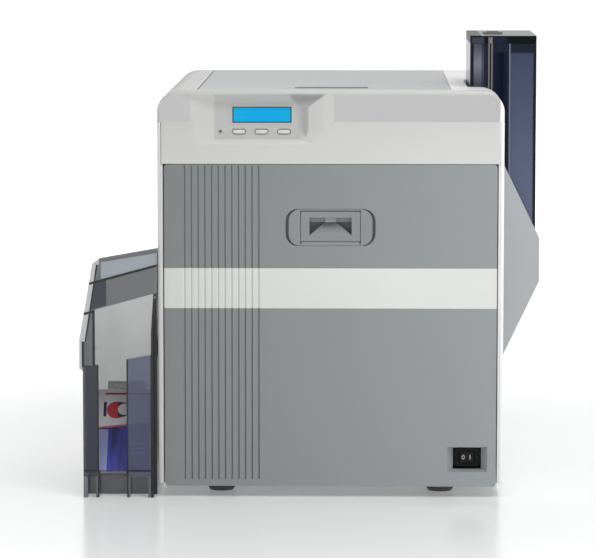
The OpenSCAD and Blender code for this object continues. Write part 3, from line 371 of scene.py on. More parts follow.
def soften(names, material, radius):
    """Gives solids that stay their material, and rounds their sharp edges."""
    for name in names:
        obj = nodes[name]
        obj.data.materials.clear()
        obj.data.materials.append(material)
        weld = obj.modifiers.new("weld", "WELD")
        weld.merge_threshold = 1e-6
        ease(obj, radius)


def case_plastic():
    """Off-white ABS with painted light and shade: painted shade darkens the shoulders, most round
    the left one's outside;
    painted highlights pale the right shoulder on the lamp's side and the narrow front edges beside
    the door, with a faint painted glow."""
    f = Finish("white_case_plastic")
    x, y, z = f.axes()
    slow, fine = f.noise(11, 3), f.noise(2600, 2)
    shoulder, lamp_side = z > SHOULDER_Z, x > 100.0
    beside_door = (y < 4.0) * (z < CREASE_Z)
    right_edge, left_edge = beside_door * (x > 140.0), beside_door * x.between(-151.2, 0.0)
    tone = f.mix(slow * 0.7 + fine * 0.3, linear(214, 214, 212), linear(222, 222, 220))
    # painted shade on the shoulders, darkest round the left one's outside; painted highlights on
    # the right shoulder and the edges beside the door
    tone = f.mix(shoulder, tone, linear(206, 207, 206))
    tone = f.mix(shoulder * lamp_side, tone, linear(236, 236, 235))
    tone = f.mix((z > SHOULDER_Z - 4.0) * f.span(x, -132.0, -150.0), tone, linear(168, 168, 167))
    tone = f.mix(right_edge, tone, linear(252, 253, 252))
    tone = f.mix(left_edge, tone, linear(240, 240, 238))
    # the faint glow on the right edge and the right shoulder is painted light
    glow = f.mix(right_edge, BLACK, (0.12, 0.12, 0.12))
    glow = f.mix(shoulder * lamp_side, glow, (0.05, 0.05, 0.05))
    return f.surface(Base_Color=tone, Roughness=slow * 0.1 + 0.42,
                     Normal=f.bump(fine, GRAIN, 0.6), Emission_Color=glow, Emission_Strength=1.0)


soften(["left_side_cover", "right_side_cover", "rear_cover"], case_plastic(), 0.9)

# ------------------------------------------------------------------ top cover
# One gray moulded lid, hinged at the rear, with a groove across it and a finger slot near
# the front edge. Its texture is a little coarser than the case's.
LID_X0, GROOVE_Y, SLOT_HALF, SLOT_Y = -118.5, (143.8, 146.2), 33.6, (8.9, 40.0)


def lid_plastic():
    """Gray ABS of a coarser grain, with painted shade: the groove, the left edge and the finger
    slot's inside are painted darker, in that order."""
    f = Finish("gray_lid_plastic")
    x, y, z = f.axes()
    slow, fine = f.noise(11, 3), f.noise(2200, 2)
    groove = y.between(*GROOVE_Y) * z.between(CASE_TOP - 1.3, CASE_TOP - 0.35)
    slot = x.between(-SLOT_HALF, SLOT_HALF) * y.between(*SLOT_Y)
    slot = slot * z.between(CASE_TOP - 6.0, CASE_TOP - 0.15)
    tone = f.mix(slow * 0.7 + fine * 0.3, linear(190, 191, 192), linear(197, 198, 199))
    # painted shade in the groove, along the left edge and inside the finger slot
    tone = f.mix(groove, tone, linear(46, 47, 50))
    tone = f.mix((x < LID_X0 + 0.9) * 0.8, tone, linear(60, 61, 64))
    tone = f.mix(slot, tone, linear(6, 6, 7))
    return f.surface(Base_Color=tone, Roughness=slow * 0.1 + 0.5,
                     Normal=f.bump(fine, 0.00006, 0.6))


soften(["top_cover"], lid_plastic(), 0.7)

# ------------------------------------------------------------------ feet and base
# The base pan is zinc-plated sheet steel; four soft rubber feet plug into it.


def plated(name, colour, rough=0.38, metal=0.9):
    """Bare or plated sheet: streaks along one way, small blotches of zinc spangle."""
    f = Finish(name)
    streak, blotch = f.noise(60, 2, (1, 1, 40)), f.noise(45, 3)
    darker = tuple(c * 0.8 for c in colour)
    return f.surface(Base_Color=f.mix(blotch, darker, colour), Metallic=metal,
                     Roughness=streak * 0.16 + (rough - 0.08),
                     Normal=f.bump(streak, 0.00003, 0.5))


def rubbery(name, colour, rough=0.75):
    """Soft rubber: matt, with a dusting and fine pores."""
    f = Finish(name)
    dust, pores = f.noise(40, 4), f.noise(1800, 2)
    paler = tuple(c * 1.8 + 0.01 for c in colour)
    return f.surface(Base_Color=f.mix(dust * 0.5, colour, paler),
                     Roughness=dust * 0.2 + (rough - 0.1), Normal=f.bump(pores, 0.00005, 0.5))


soften(["base_pan", "door_hinge_brackets", "door_hinge_pins", "lid_hinge_brackets",
        "lid_hinge_pins", "latch_strike", "mechanism_plate", "roller_plate", "cross_bars"],
       plated("zinc_sheet", linear(190, 193, 197)), 0.25)
soften(["rubber_feet"], rubbery("gray_rubber", linear(92, 92, 94)), 0.8)

# ------------------------------------------------------------------ front frame
# One white moulding over the door: a flat face, a crease, and a facet that leans forward. The
# operator panel lies in a pocket whose sloping sides die out into the face on the right.
LEAN, FRAME_BACK, PANEL_Y, PANEL_TOP = 3.0, 8.0, 4.5, 361.5
STRAIGHT = HALF_W - CORNER
LCD_X, LCD_Z, LCD_W, LCD_H = -61.0, CREASE_Z + 6, 52.6, 14.3
BUTTON_Z, BUTTON_W, BUTTON_H = CREASE_Z - 9, 11.0, 3.8
BUTTON_XS = [LCD_X - 0.5 + 20 * i for i in (-1, 0, 1)]
LED_X = LCD_X - 37


def smooth(a, b, t):
    """0 below a, 1 above b, and 3 s^2 - 2 s^3 between them."""
    s = np.clip((t - a) / (b - a), 0, 1)
    return s * s * (3 - 2 * s)


def off_pill(x, z, cx, cz, width, height, radius):
    """Signed distance to a rectangle with round corners, negative inside."""
    qx, qz = np.abs(x - cx) - width / 2 + radius, np.abs(z - cz) - height / 2 + radius
    outside = np.hypot(np.maximum(qx, 0), np.maximum(qz, 0))
    return outside + np.minimum(np.maximum(qx, qz), 0) - radius


def frame_depth(x, z):
    """y of the front: the crease, the pocket as the lowest of planes (each through an inner and
    an outer edge), and the wells, blended by (a + b +- sqrt((a - b)^2 + w^2)) / 2."""
    above = z - CREASE_Z
    face = -LEAN / 24 * 0.5 * (above + np.sqrt(above ** 2 + 1.5 ** 2))
    pocket = np.full(x.shape, PANEL_Y)
    for (x0, z0, y0), (x1, z1, y1), (x2, z2, y2) in (
            ((-103.5, 323, PANEL_Y), (-104, 352, PANEL_Y), (-124, 345, -0.6)),      # left
            ((-103, 321, PANEL_Y), (-22, 321, PANEL_Y), (-60, 317.4, 0.0)),         # lower
            ((-103, 355, PANEL_Y), (-31, 355.7, PANEL_Y), (-60, PANEL_TOP, -3.2)),  # upper
            ((-31.2, 355.7, PANEL_Y), (-21.9, 323.3, PANEL_Y), (-19.7, 351, 1.9)),  # dark right
            ((3, 337, 0), (3, 361, -3.0), (-19.7, 351, 1.9)),                       # light right
            ((3, 338, 0), (-15, 319.5, 0), (-21.9, 323.3, 3.2))):                   # lower right
        u, v = np.array([x1 - x0, z1 - z0, y1 - y0]), np.array([x2 - x0, z2 - z0, y2 - y0])
        nx, nz, ny = np.cross(u, v)
        plane = y0 - (nx * (x - x0) + nz * (z - z0)) / ny
        pocket = 0.5 * (pocket + plane - np.sqrt((pocket - plane) ** 2 + 0.25 ** 2))
    y = 0.5 * (face + pocket + np.sqrt((face - pocket) ** 2 + 0.5 ** 2))
    window = off_pill(x, z, LCD_X, LCD_Z, LCD_W + 1.0, LCD_H + 1.0, 1.5)
    y = y - 0.5 * smooth(1.5, 0.9, np.abs(window))
    for middle in BUTTON_XS:
        sd = off_pill(x, z, middle, BUTTON_Z, BUTTON_W + 0.9, BUTTON_H + 0.9, 1.9)
        y = y + 1.6 * smooth(0.3, -0.25, sd)
    return y + 1.2 * smooth(0.3, -0.2, np.hypot(x - LED_X, z - BUTTON_Z) - 1.6)


def front_frame(material):
    """(x, z) -> y = frame_depth(x, z) on a grid that is finest at the wells; the open edges of
    the kept cells are carried straight back to close the moulding."""
    bend = CORNER * np.sin(np.radians(np.linspace(0, 90, 19)))
    ends = np.array([-0.5, 0.5])
    xs = np.concatenate([STRAIGHT + bend, -STRAIGHT - bend, [-DOOR_SIDE, DOOR_SIDE],
                         np.arange(-132, STRAIGHT, 6), np.arange(-126, 8, 0.8),
                         np.arange(-101, -30, 0.35), LCD_X + ends * LCD_W])
    zs = np.concatenate([np.arange(FRAME_Z0, 316, 2.5), np.arange(316, PANEL_TOP, 0.6),
                         np.arange(361, CASE_TOP + 0.01, 0.25), np.arange(324.5, 331.5, 0.25),
                         CREASE_Z + np.array([-0.3, 0, 0.4]), FRAME_Z0 + np.array([0.4, 0.9]),
                         LCD_Z + ends * LCD_H])
    xs, zs = (np.unique(np.round(values, 3)) for values in (xs, zs))
    x, z = np.meshgrid(xs, zs, indexing="ij")
    y = frame_depth(x, z)
    # the upper corners: rows over the bend's start are drawn together under its circle
    across, start = np.maximum(np.abs(x) - STRAIGHT, 0), CASE_TOP - CORNER
    top = start + np.sqrt(np.maximum(CORNER ** 2 - across ** 2, 0))
    z = np.where(z > start, start + (z - start) * (top - start) / CORNER, z)
    # the top edge, the ends and the lower edge roll back: r - sqrt(r^2 - (r - d)^2)
    rim = np.hypot(across, np.maximum(z - start, 0))
    edge = np.where((across > 0) & (z > start), CORNER - rim,
                    np.minimum(top - z, HALF_W - np.abs(x)))
    foot = np.minimum(DOOR_SIDE - np.abs(x), z - FRAME_Z0)
    edge = np.where(z < CREASE_Z, np.minimum(foot, edge) + 1.6, edge)
    r = 2.6
    y = y + r - np.sqrt(r ** 2 - np.clip(r - edge, 0, r) ** 2)
    cells = np.ones((len(xs) - 1, len(zs) - 1), bool)
    mx, mz = (xs[1:] + xs[:-1])[:, None] / 2, (zs[1:] + zs[:-1])[None, :] / 2
    cells &= ~((np.abs(mx) > DOOR_SIDE) & (mz < CREASE_Z - 0.3))
    cells &= ~((np.abs(mx - LCD_X) < LCD_W / 2) & (np.abs(mz - LCD_Z) < LCD_H / 2))
    obj = cell_solid("front_frame_shell", np.stack([x, y, z], -1), cells, FRAME_BACK, material)
    shade_smooth(obj)
    return obj


def cell_solid(name, points, cells, back, material):
    """A solid from the kept cells of a grid: its front, straight walls to y = back, and a back."""
    n, m = points.shape[:2]
    index = np.arange(n * m).reshape(n, m)
    corners = index[:-1, :-1], index[1:, :-1], index[1:, 1:], index[:-1, 1:]
    front = np.stack([corner[cells] for corner in corners], 1)
    edges = np.concatenate([front[:, [0, 1]], front[:, [1, 2]], front[:, [2, 3]], front[:, [3, 0]]])
    codes = edges[:, 0] * (n * m) + edges[:, 1]
    rim = edges[~np.isin(codes, edges[:, 1] * (n * m) + edges[:, 0])]
    flat = points.reshape(-1, 3)
    rear = flat.copy()
    rear[:, 1] = back
    walls = np.stack([rim[:, 1], rim[:, 0], rim[:, 0] + n * m, rim[:, 1] + n * m], 1)
    faces = [*front.tolist(), *walls.tolist()]
    obj = mesh_object(name, np.concatenate([flat, rear]), faces, material)
    shape = bmesh.new()
    shape.from_mesh(obj.data)
    bmesh.ops.remove_doubles(shape, verts=shape.verts, dist=2e-6)
    bmesh.ops.dissolve_degenerate(shape, dist=2e-6, edges=shape.edges)
    bmesh.ops.delete(shape, geom=[v for v in shape.verts if not v.link_faces], context="VERTS")
    bmesh.ops.holes_fill(shape, edges=[e for e in shape.edges if e.is_boundary], sides=0)
    bmesh.ops.recalc_face_normals(shape, faces=shape.faces)
    for face in shape.faces:
        for edge in face.edges:
            if len(edge.link_faces) == 2 and edge.calc_face_angle(0) > 0.9:
                edge.smooth = False
    shape.to_mesh(obj.data)
    shape.free()
    return obj


def front_plastic():
    """Off-white ABS with painted light and shade. It is painted paler to the right and below.
    Painted shade darkens the facet over the crease, as under light that falls steeply, and the
    pocket's floor and, more, its right side, which leans away from the lamps. The right edge by the
    door has a painted highlight and a faint painted glow."""
    f = Finish("white_front_plastic")
    x, y, z = f.axes()
    slow, fine = f.noise(11, 3), f.noise(2600, 2)
    facet = z.past(CREASE_Z) * z.below(PANEL_TOP, 1.0)
    beside = x.below(-124.4, 1.0) + x.past(2.8, 1.2)
    floor = x.past(-103.3) * x.below(-25.8, 1.5) * z.past(320.8, 0.6) * z.below(PANEL_TOP, 1.0)
    high = f.calc("MAXIMUM", z - 350.0, 0.0)
    low = f.calc("MAXIMUM", (z - 330.0) * -1.0, 0.0)
    steep = (x + high * 0.8 - low * 0.6).past(-27.5, 2.5) * z.past(323.6)
    steep = steep * (x - high * 1.3 + low * 0.3).below(-19.8, 0.8) * z.below(361.0, 1.5)
    tone = f.mix(slow * 0.3, linear(204, 203, 200), linear(210, 209, 206))
    # painted light and shade zone by zone: paler right and below, painted shade on the facet, the
    # pocket's floor and its right side, painted highlight by the door
    for where, colour in (
            (x.past(-20, 130) * 0.6 + z.below(318, 16) * 0.35, linear(226, 227, 225)),
            (beside * facet, f.mix(slow * 0.5, linear(197, 197, 197), linear(203, 203, 203))),
            (floor, f.mix(slow * 0.5, linear(193, 193, 192), linear(199, 199, 198))),  # pocket
            (steep, linear(176, 176, 177)),  # the pocket's right side
            (steep * z.past(354.0, 3.0), linear(160, 160, 161)),  # and its upper end
            ((x > DOOR_SIDE - 0.4) * 0.9, linear(252, 253, 252))):  # the edge by the door
        tone = f.mix(where, tone, colour)
    # the glow on the edge by the door is painted light
    glow = f.mix(x > DOOR_SIDE - 0.4, BLACK, (0.12, 0.12, 0.12))
    return f.surface(Base_Color=tone, Roughness=slow * 0.1 + 0.38,
                     Normal=f.bump(fine, GRAIN, 0.6), Emission_Color=glow, Emission_Strength=1.0)


fit(front_frame(front_plastic()), "root", "white_case", "front_bezel")

# ------------------------------------------------------------------ display, buttons, light
# A blue two-line character display behind a clear window with a thin dark edge, three pale
# keys in wells below it, and a small status light. The board and the module hide behind.


def lit_display():
    """Cyan backlight that fades to the sides; two rows of faint blank character cells."""
    f = Finish("display_backlight")
    x, y, z = f.axes()
    u, v = x - LCD_X, z - LCD_Z
    half_w, rim_w, rim_h = LCD_W / 2, 1.0, 0.95
    cell = (f.calc("PINGPONG", u + 100, 1.45) > 0.28) * (f.calc("PINGPONG", v + 101.2, 2.6) > 0.5)
    far = f.calc("ABSOLUTE", u * (1 / half_w))
    tone = f.mix(far * far * 0.7, linear(0, 160, 220), linear(12, 172, 205))
    tone = f.mix(cell * 0.16, tone, linear(0, 140, 214))
    rim = f.calc("MAXIMUM", far * half_w - (half_w - rim_w),
                 f.calc("ABSOLUTE", v) - (LCD_H / 2 - rim_h))
    tone = f.mix(rim > 0, tone, linear(22, 62, 84))
    return f.surface(Base_Color=tone, Emission_Color=tone, Emission_Strength=0.24, Roughness=0.5,
                     Specular_IOR_Level=0.1, Coat_Weight=0.12, Coat_Roughness=0.05)


key_plastic = moulded("pale_key_plastic", linear(224, 224, 221), rough=0.35, grain=0.00002)


def key(name, x, width, height, front, back):
    """A key cap: an outline with round ends, its face bulged by c (1 - (u/a)^2)(1 - (v/b)^2)."""
    rows = [(0.0, back), (0.0, front + 0.5), (0.12, front + 0.16), (0.42, front)]
    rings = []
    for inset, depth in rows:
        ring = rounded(x, BUTTON_Z, width - 2 * inset, height - 2 * inset, 1.3 - inset * 0.5)
        rings.append(np.insert(ring, 1, depth, axis=1))
    for share in (0.6, 0.2):
        ring = rounded(x, BUTTON_Z, width * share, height * share, 0.6 * share)
        rings.append(np.insert(ring, 1, front - 0.18 * (1 - share * share), axis=1))
    points = np.concatenate(rings)
    n = len(rings[0])
    faces = [[r * n + i, r * n + (i + 1) % n, (r + 1) * n + (i + 1) % n, (r + 1) * n + i]
             for r in range(len(rings) - 1) for i in range(n)]
    ends = [list(range(n)), list(range(len(points) - n, len(points)))]
    obj = mesh_object(name, points, [*faces, *ends], key_plastic)
    outward(obj)
    shade_smooth(obj)
    return obj


for i, side in enumerate(("left", "middle", "right")):
    cap = key(f"key_{side}", BUTTON_XS[i], BUTTON_W - 0.5, BUTTON_H - 0.5, PANEL_Y - 1.0, 10.2)
    fit(cap, f"button_{side}", "white_band", f"button_{side}")

window = rounded(LCD_X, LCD_Z, LCD_W - 0.1, LCD_H - 0.1, 0.6)
glass = extrude("display_glass", window, PANEL_Y + 0.8, 9.0, lit_display())
fit(ease(glass, 0.2), "root", "screen_blue", "display_window")


def status_lens():
    """A tiny dark lens with a pale moulded rim."""
    f = Finish("status_lens")
    x, y, z = f.axes()
    x, z = x - LED_X, z - BUTTON_Z
    blot = f.noise(900, 2)
    tone = f.mix((x * x + z * z) < 0.8, linear(176, 177, 178), linear(26, 28, 44))
    return f.surface(Base_Color=tone, Roughness=blot * 0.06 + 0.14, Coat_Weight=0.3)


soften(["status_light"], status_lens(), 0.1)

# ------------------------------------------------------------------ door
# The gray door hangs on two pins at its foot; a white band is clipped into a recess across it.
# Twelve fine grooves run down its left third. Painted shade makes it a little darker towards the
# left.
GROOVE_PITCH, GROOVES_END = 6.0, -60.0


def groove_halves(f, x):
    """The place across the door's grooves, -3 to 3 from each groove's middle, in millimetres."""
    first = (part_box("front_door")[0].x - CASE_MIDDLE) / MM + 18.0
    turn = f.calc("FRACT", (x - first) * (1 / GROOVE_PITCH) + 0.5)
    return turn * GROOVE_PITCH - GROOVE_PITCH / 2


def door_plastic():
    """Gray ABS with the same eroded grain, painted slightly paler to the right and below as painted
    light. The grooves have painted shade, and inside a groove the left wall has a painted
    highlight, which makes it the paler one."""
    f = Finish("gray_door_plastic")
    x, y, z = f.axes()
    slow, fine = f.noise(9, 3), f.noise(2600, 2)
    groove, across = y.between(0.05, 3.2) * (x < GROOVES_END), groove_halves(f, x)
    # painted light: paler to the right and below; painted shade in the grooves, painted highlight
    # on each groove's left wall
    tone = f.mix(f.span(x - z * 0.45, -270.0, 130.0), linear(130, 134, 134), linear(170, 174, 177))
    tone = f.mix(slow * 0.12, tone, linear(138, 142, 146))
    tone = f.mix(groove, tone, linear(104, 107, 108))
    tone = f.mix(groove * (across < -0.15), tone, linear(152, 156, 157))
    return f.surface(Base_Color=tone, Roughness=slow * 0.08 + 0.46,
                     Normal=f.bump(fine, GRAIN, 0.6))


def band_plastic():
    """White ABS painted paler from left to right as painted light, like the door behind it; its
    grooves have painted shade, and each groove's left wall a painted highlight.
    """
    f = Finish("white_band_plastic")
    x, y, z = f.axes()
    slow, fine = f.noise(9, 3), f.noise(2600, 2)
    groove, across = (y > 0.05) * (x < GROOVES_END), groove_halves(f, x)
    # painted light from left to right; painted shade in the grooves, painted highlight on each
    # groove's left wall
    tone = f.mix(f.span(x, -160.0, 60.0), linear(222, 223, 219), linear(243, 244, 242))
    tone = f.mix(slow * 0.15, tone, linear(220, 221, 218))
    tone = f.mix(groove, tone, linear(206, 207, 205))
    tone = f.mix(groove * (across < -0.15), tone, linear(240, 241, 240))
    return f.surface(Base_Color=tone, Roughness=slow * 0.08 + 0.36,
                     Normal=f.bump(fine, GRAIN, 0.6))


soften(["front_door"], door_plastic(), 0.16)
soften(["door_band"], band_plastic(), 0.12)

# ------------------------------------------------------------------ latch
# A pill-shaped insert in the door. Its middle part is a paddle that swings out; a finger pocket
# in the paddle has a ramp between two deep corners. The insert's ends fall short of the hole,
# and a thin sheet shows in the gap under the paddle; its glow is painted light.
LATCH_HALF, LATCH_TOP_GAP, LATCH_FOOT_GAP = 26.0, (256.4, 257.4), (227.0, 229.4)


def latch_plastic():
    """The door's gray. Painted shade darkens the finger pocket's steep corners towards their depth,
    and a faint painted glow stands for the light that reaches the thin gaps over and under the
    paddle."""
    f = Finish("gray_latch_plastic")
    x, y, z = f.axes()
    slow, fine = f.noise(9, 3), f.noise(2600, 2)
    tone = f.mix(slow * 0.5, linear(143, 147, 148), linear(149, 153, 155))
    # painted shade in the finger pocket's depth, painted glow in the gaps over and under the paddle
    tone = f.mix(f.span(y, 1.0, 8.0) * (z > 230.0) * 0.75, tone, linear(70, 72, 74))
    gaps = z.between(*LATCH_TOP_GAP) + z.between(*LATCH_FOOT_GAP)
    gaps = gaps * x.between(-LATCH_HALF, LATCH_HALF) * y.between(0.6, 7.3)
    glow = f.mix(gaps, BLACK, (0.2, 0.21, 0.215))
    return f.surface(Base_Color=tone, Roughness=slow * 0.08 + 0.42,
                     Normal=f.bump(fine, GRAIN, 0.6), Emission_Color=glow, Emission_Strength=1.0)


latch_gray = latch_plastic()
soften(["latch_surround", "door_latch"], latch_gray, 0.2)
# a sheet in the gap under the paddle, whose glow is painted light
gap_glow_sheet = strip("latch_gap_glow_sheet", (-25.8, 5.8, 227.8), (25.8, 7.2, 229.3), latch_gray)
fit(gap_glow_sheet, "door", "gray_door")

# ------------------------------------------------------------------ power switch
# A black rocker switch at the door's lower right corner, seen through a bevelled recess. It has
# a gloss frame, and a rocker with a white O and I printed on it.
SWITCH_X, SWITCH_Z = 122.5, 34.5
RING_X, RING_R, BAR_X = -3.1, 1.25, 3.0


def gloss_black():
    """Glossy black polycarbonate with faint dust and hairline swirls."""
    f = Finish("gloss_black_plastic")
    dust, swirl = f.noise(55, 4), f.noise(240, 2, (1, 1, 3))
    colour = linear(8, 8, 10)
    paler = tuple(c * 2.2 + 0.004 for c in colour)
    return f.surface(Base_Color=f.mix(dust * 0.5, colour, paler), Roughness=swirl * 0.14 + 0.13,
                     Specular_IOR_Level=0.15, Coat_Weight=0.06, Coat_Roughness=0.08)


def rocker_print():
    """The rocker's black with a white ring left and a white bar right of its middle. The ring is
    an oval: du^2 + v^2 / 3.1 lies between 0.66^2 and 1.15^2."""
    f = Finish("rocker_legend")
    x, y, z = f.axes()
    u, v = x - SWITCH_X, z - SWITCH_Z
    du = (u - RING_X) * (1 / RING_R)
    ring = f.calc("SQRT", du * du + v * v * (1 / 3.1)).between(0.66, 1.15)
    bar = (f.calc("ABSOLUTE", u - BAR_X) < 0.42) * (f.calc("ABSOLUTE", v) < 2.0)
    tone = f.mix(f.calc("MAXIMUM", ring, bar), linear(26, 27, 32), linear(244, 246, 248))
    return f.surface(Base_Color=tone, Roughness=f.noise(160, 3) * 0.15 + 0.28,
                     Specular_IOR_Level=0.2, Coat_Weight=0.08)


soften(["switch_body"], gloss_black(), 0.35)
soften(["switch_rocker"], rocker_print(), 0.3)

# ------------------------------------------------------------------ hopper housing and bay
# A pale gray moulded gusset widens the case under the hopper; a dark liner closes the case
# beside it, and a tray with a rubber pick roller carries the cards.
soften(["gusset_housing"], moulded("gray_housing_plastic", linear(188, 192, 196)), 0.6)
soften(["hopper_bay", "pick_tray", "card_weight"],
       moulded("dark_liner_plastic", linear(60, 62, 66)), 0.3)
soften(["pick_roller"], rubbery("pick_rubber", linear(46, 46, 48)), 0.3)

# ------------------------------------------------------------------ hopper
# A tall magazine of smoke-blue clear plastic, open at the foot, with a slot down its front
# where a finger can press the card weight. A dark cap with a grip tab closes its top.
HOPPER_X0, HOPPER_Y0, HOPPER_CAP_Z = 125.0, 58.0, 404.0
HOPPER_SLOT, SLOT_RAIL = (21.0, 33.0), (16.4, 20.1)


def edge_on(f):
    """0 where a face is seen squarely and 1 where it is seen at a grazing angle."""
    return f.add("ShaderNodeLayerWeight", {}, {"Blend": 0.35}, out="Facing")


def clear_plastic(name, tint, alpha):
    """Tinted clear plastic: more opaque at grazing angles, with hairlines and faint dust."""
    f = Finish(name)
    dust, hair = f.noise(30, 4), f.noise(90, 2, (1, 1, 14))
    opacity = f.calc("MINIMUM", edge_on(f) * (0.95 - alpha) + dust * 0.05 + alpha, 0.98)
    paler = tuple(min(1, c * 1.4 + 0.02) for c in tint)
    return f.surface(Base_Color=f.mix(dust * 0.3, tint, paler), Alpha=opacity,
                     Roughness=hair * 0.08 + 0.06, Coat_Weight=0.6, Coat_Roughness=0.04,
                     Normal=f.bump(hair, 0.00001, 0.3))


def hopper_plastic():
    """Smoke-blue acrylic: deep and nearly opaque in the channel at the back, with a faint painted
    glow there. The light seen through the front's left pane, and through the right pane more
    towards the foot, is painted as paler colour; painted shade darkens the left pane's lower part
    and the part under the cap, and it is darker beside the rail. Dark outlines are painted where
    the left wall is seen edge-on, and the rails' round edges and the slot's right edge have painted
    highlights.
    Zones are read from the hopper's left side, and later ones cover earlier ones."""
    f = Finish("smoke_blue_hopper")
    x, y, z = f.axes()
    x = x - HOPPER_X0
    dust, hair = f.noise(30, 4), f.noise(90, 2, (1, 1, 14))
    front, beside_slot = y < HOPPER_Y0 + 3.2, x < 14.0
    slot_end, (rail_start, rail_end) = HOPPER_SLOT[1], SLOT_RAIL
    rail_lights = x.between(rail_start, rail_start + 1.0) + x.between(rail_end - 1.0, rail_end)
    pane_left = f.mix(dust * 0.4, linear(124, 128, 142), linear(136, 140, 152))
    pane_right = f.mix(f.span(z, 400.0, 250.0), linear(62, 72, 101), linear(106, 113, 140))
    tone = f.mix(dust * 0.4, linear(16, 23, 42), linear(28, 38, 62))
    # painted light seen through the panes, painted shade low down and under the cap, painted dark
    # wall outline, painted highlights on the rail's and slot's edges
    for where, colour in (
            (front * x.between(3.2, 12.6), pane_left),  # left pane
            (front * beside_slot * z.below(376.0, 8.0) * 0.7, linear(30, 36, 56)),  # its lower part
            (front * x.between(10.2, 14.0) * 0.7, linear(34, 40, 60)),  # its side by the rail
            (front * beside_slot * z.past(394.0, 6.0) * 0.6, linear(24, 29, 46)),  # under the cap
            (front * x.between(0.2, 1.4), linear(6, 8, 12)),  # outline of the left wall
            (front * x.between(1.4, 3.2), linear(14, 17, 26)),  # left wall
            (front * (x > slot_end + 2.6) * (z < HOPPER_CAP_Z - 8.3), pane_right),
            (front * rail_lights * 0.8, linear(160, 152, 146)),  # edges of the rail
            ((y < HOPPER_Y0 + 1.0) * x.between(slot_end + 2.2, slot_end + 3.2),
             linear(128, 136, 156)),
            (front * (x > 57.2), linear(8, 11, 18))):  # right wall
        tone = f.mix(where, tone, colour)
    # the faint emission in the channel at the back is a painted glow
    return f.surface(Base_Color=tone, Specular_IOR_Level=0.14, Roughness=hair * 0.08 + 0.12,
                     Alpha=f.calc("MINIMUM", edge_on(f) * 0.15 + dust * 0.03 + 0.9, 0.99),
                     Coat_Weight=front * 0.1, Coat_Roughness=0.06,
                     Emission_Color=f.mix(y > HOPPER_Y0 + 6.0, BLACK, (0.004, 0.007, 0.02)),
                     Emission_Strength=1.0, Normal=f.bump(hair, 0.00001, 0.3))


def cap_plastic():
    """Black polycarbonate with a satin finish. On the grip tab its top face is painted paler, as a
    painted reflection of light;
    its front lip is painted in the tones of the hopper's panes, rail and slot in front of it, their
    painted light included."""
    f = Finish("dark_cap_plastic")
    x, y, z = f.axes()
    x = x - HOPPER_X0
    dust, rub = f.noise(55, 4), f.noise(240, 2, (1, 1, 3))
    front = (y < HOPPER_Y0 + 1.0) * (z < 409.6)
    tab_reflection = f.mix(dust * 0.5, linear(124, 126, 129), linear(150, 152, 154))
    tone = f.mix(dust * 0.5, linear(5, 6, 9), linear(11, 13, 18))
    # painted reflection on the grip tab's top; the hopper's painted light carried on the front lip
    for where, colour in (((z > 410.8) * (x > 10.0), tab_reflection),
                          (front * x.between(1.4, 12.6), linear(62, 66, 80)),
                          (front * x.between(*SLOT_RAIL), linear(128, 123, 120)),
                          (front * x.between(*HOPPER_SLOT), linear(24, 32, 52))):
        tone = f.mix(where, tone, colour)
    return f.surface(Base_Color=tone, Specular_IOR_Level=0.1, Roughness=rub * 0.12 + 0.3,
                     Normal=f.bump(rub, 0.00001, 0.3))


soften(["hopper_body"], hopper_plastic(), 0.3)
soften(["hopper_cap"], cap_plastic(), 0.4)

# ------------------------------------------------------------------ stacker
# The printed cards fall from the case into a clear smoke-gray stacker that hangs on the left
# side by two hooks. Its front is open between two posts; a web crosses it behind the front wall's
# foot, and a dark seal runs up the edge beside the case.
STACK_X0, STACK_X1, STACK_FRONT = -221.0, -158.0, -6.0
POST_LEFT, POST_RIGHT, POST_RIGHT_Z = STACK_X0 + 14.0, STACK_X0 + 39.0, 128.0
LEAN_Z, SHELF_Z, HOOD_LOW, HOOD_HIGH, ROOF_Z = 141.0, 119.5, 170.6, 196.0, 210.0


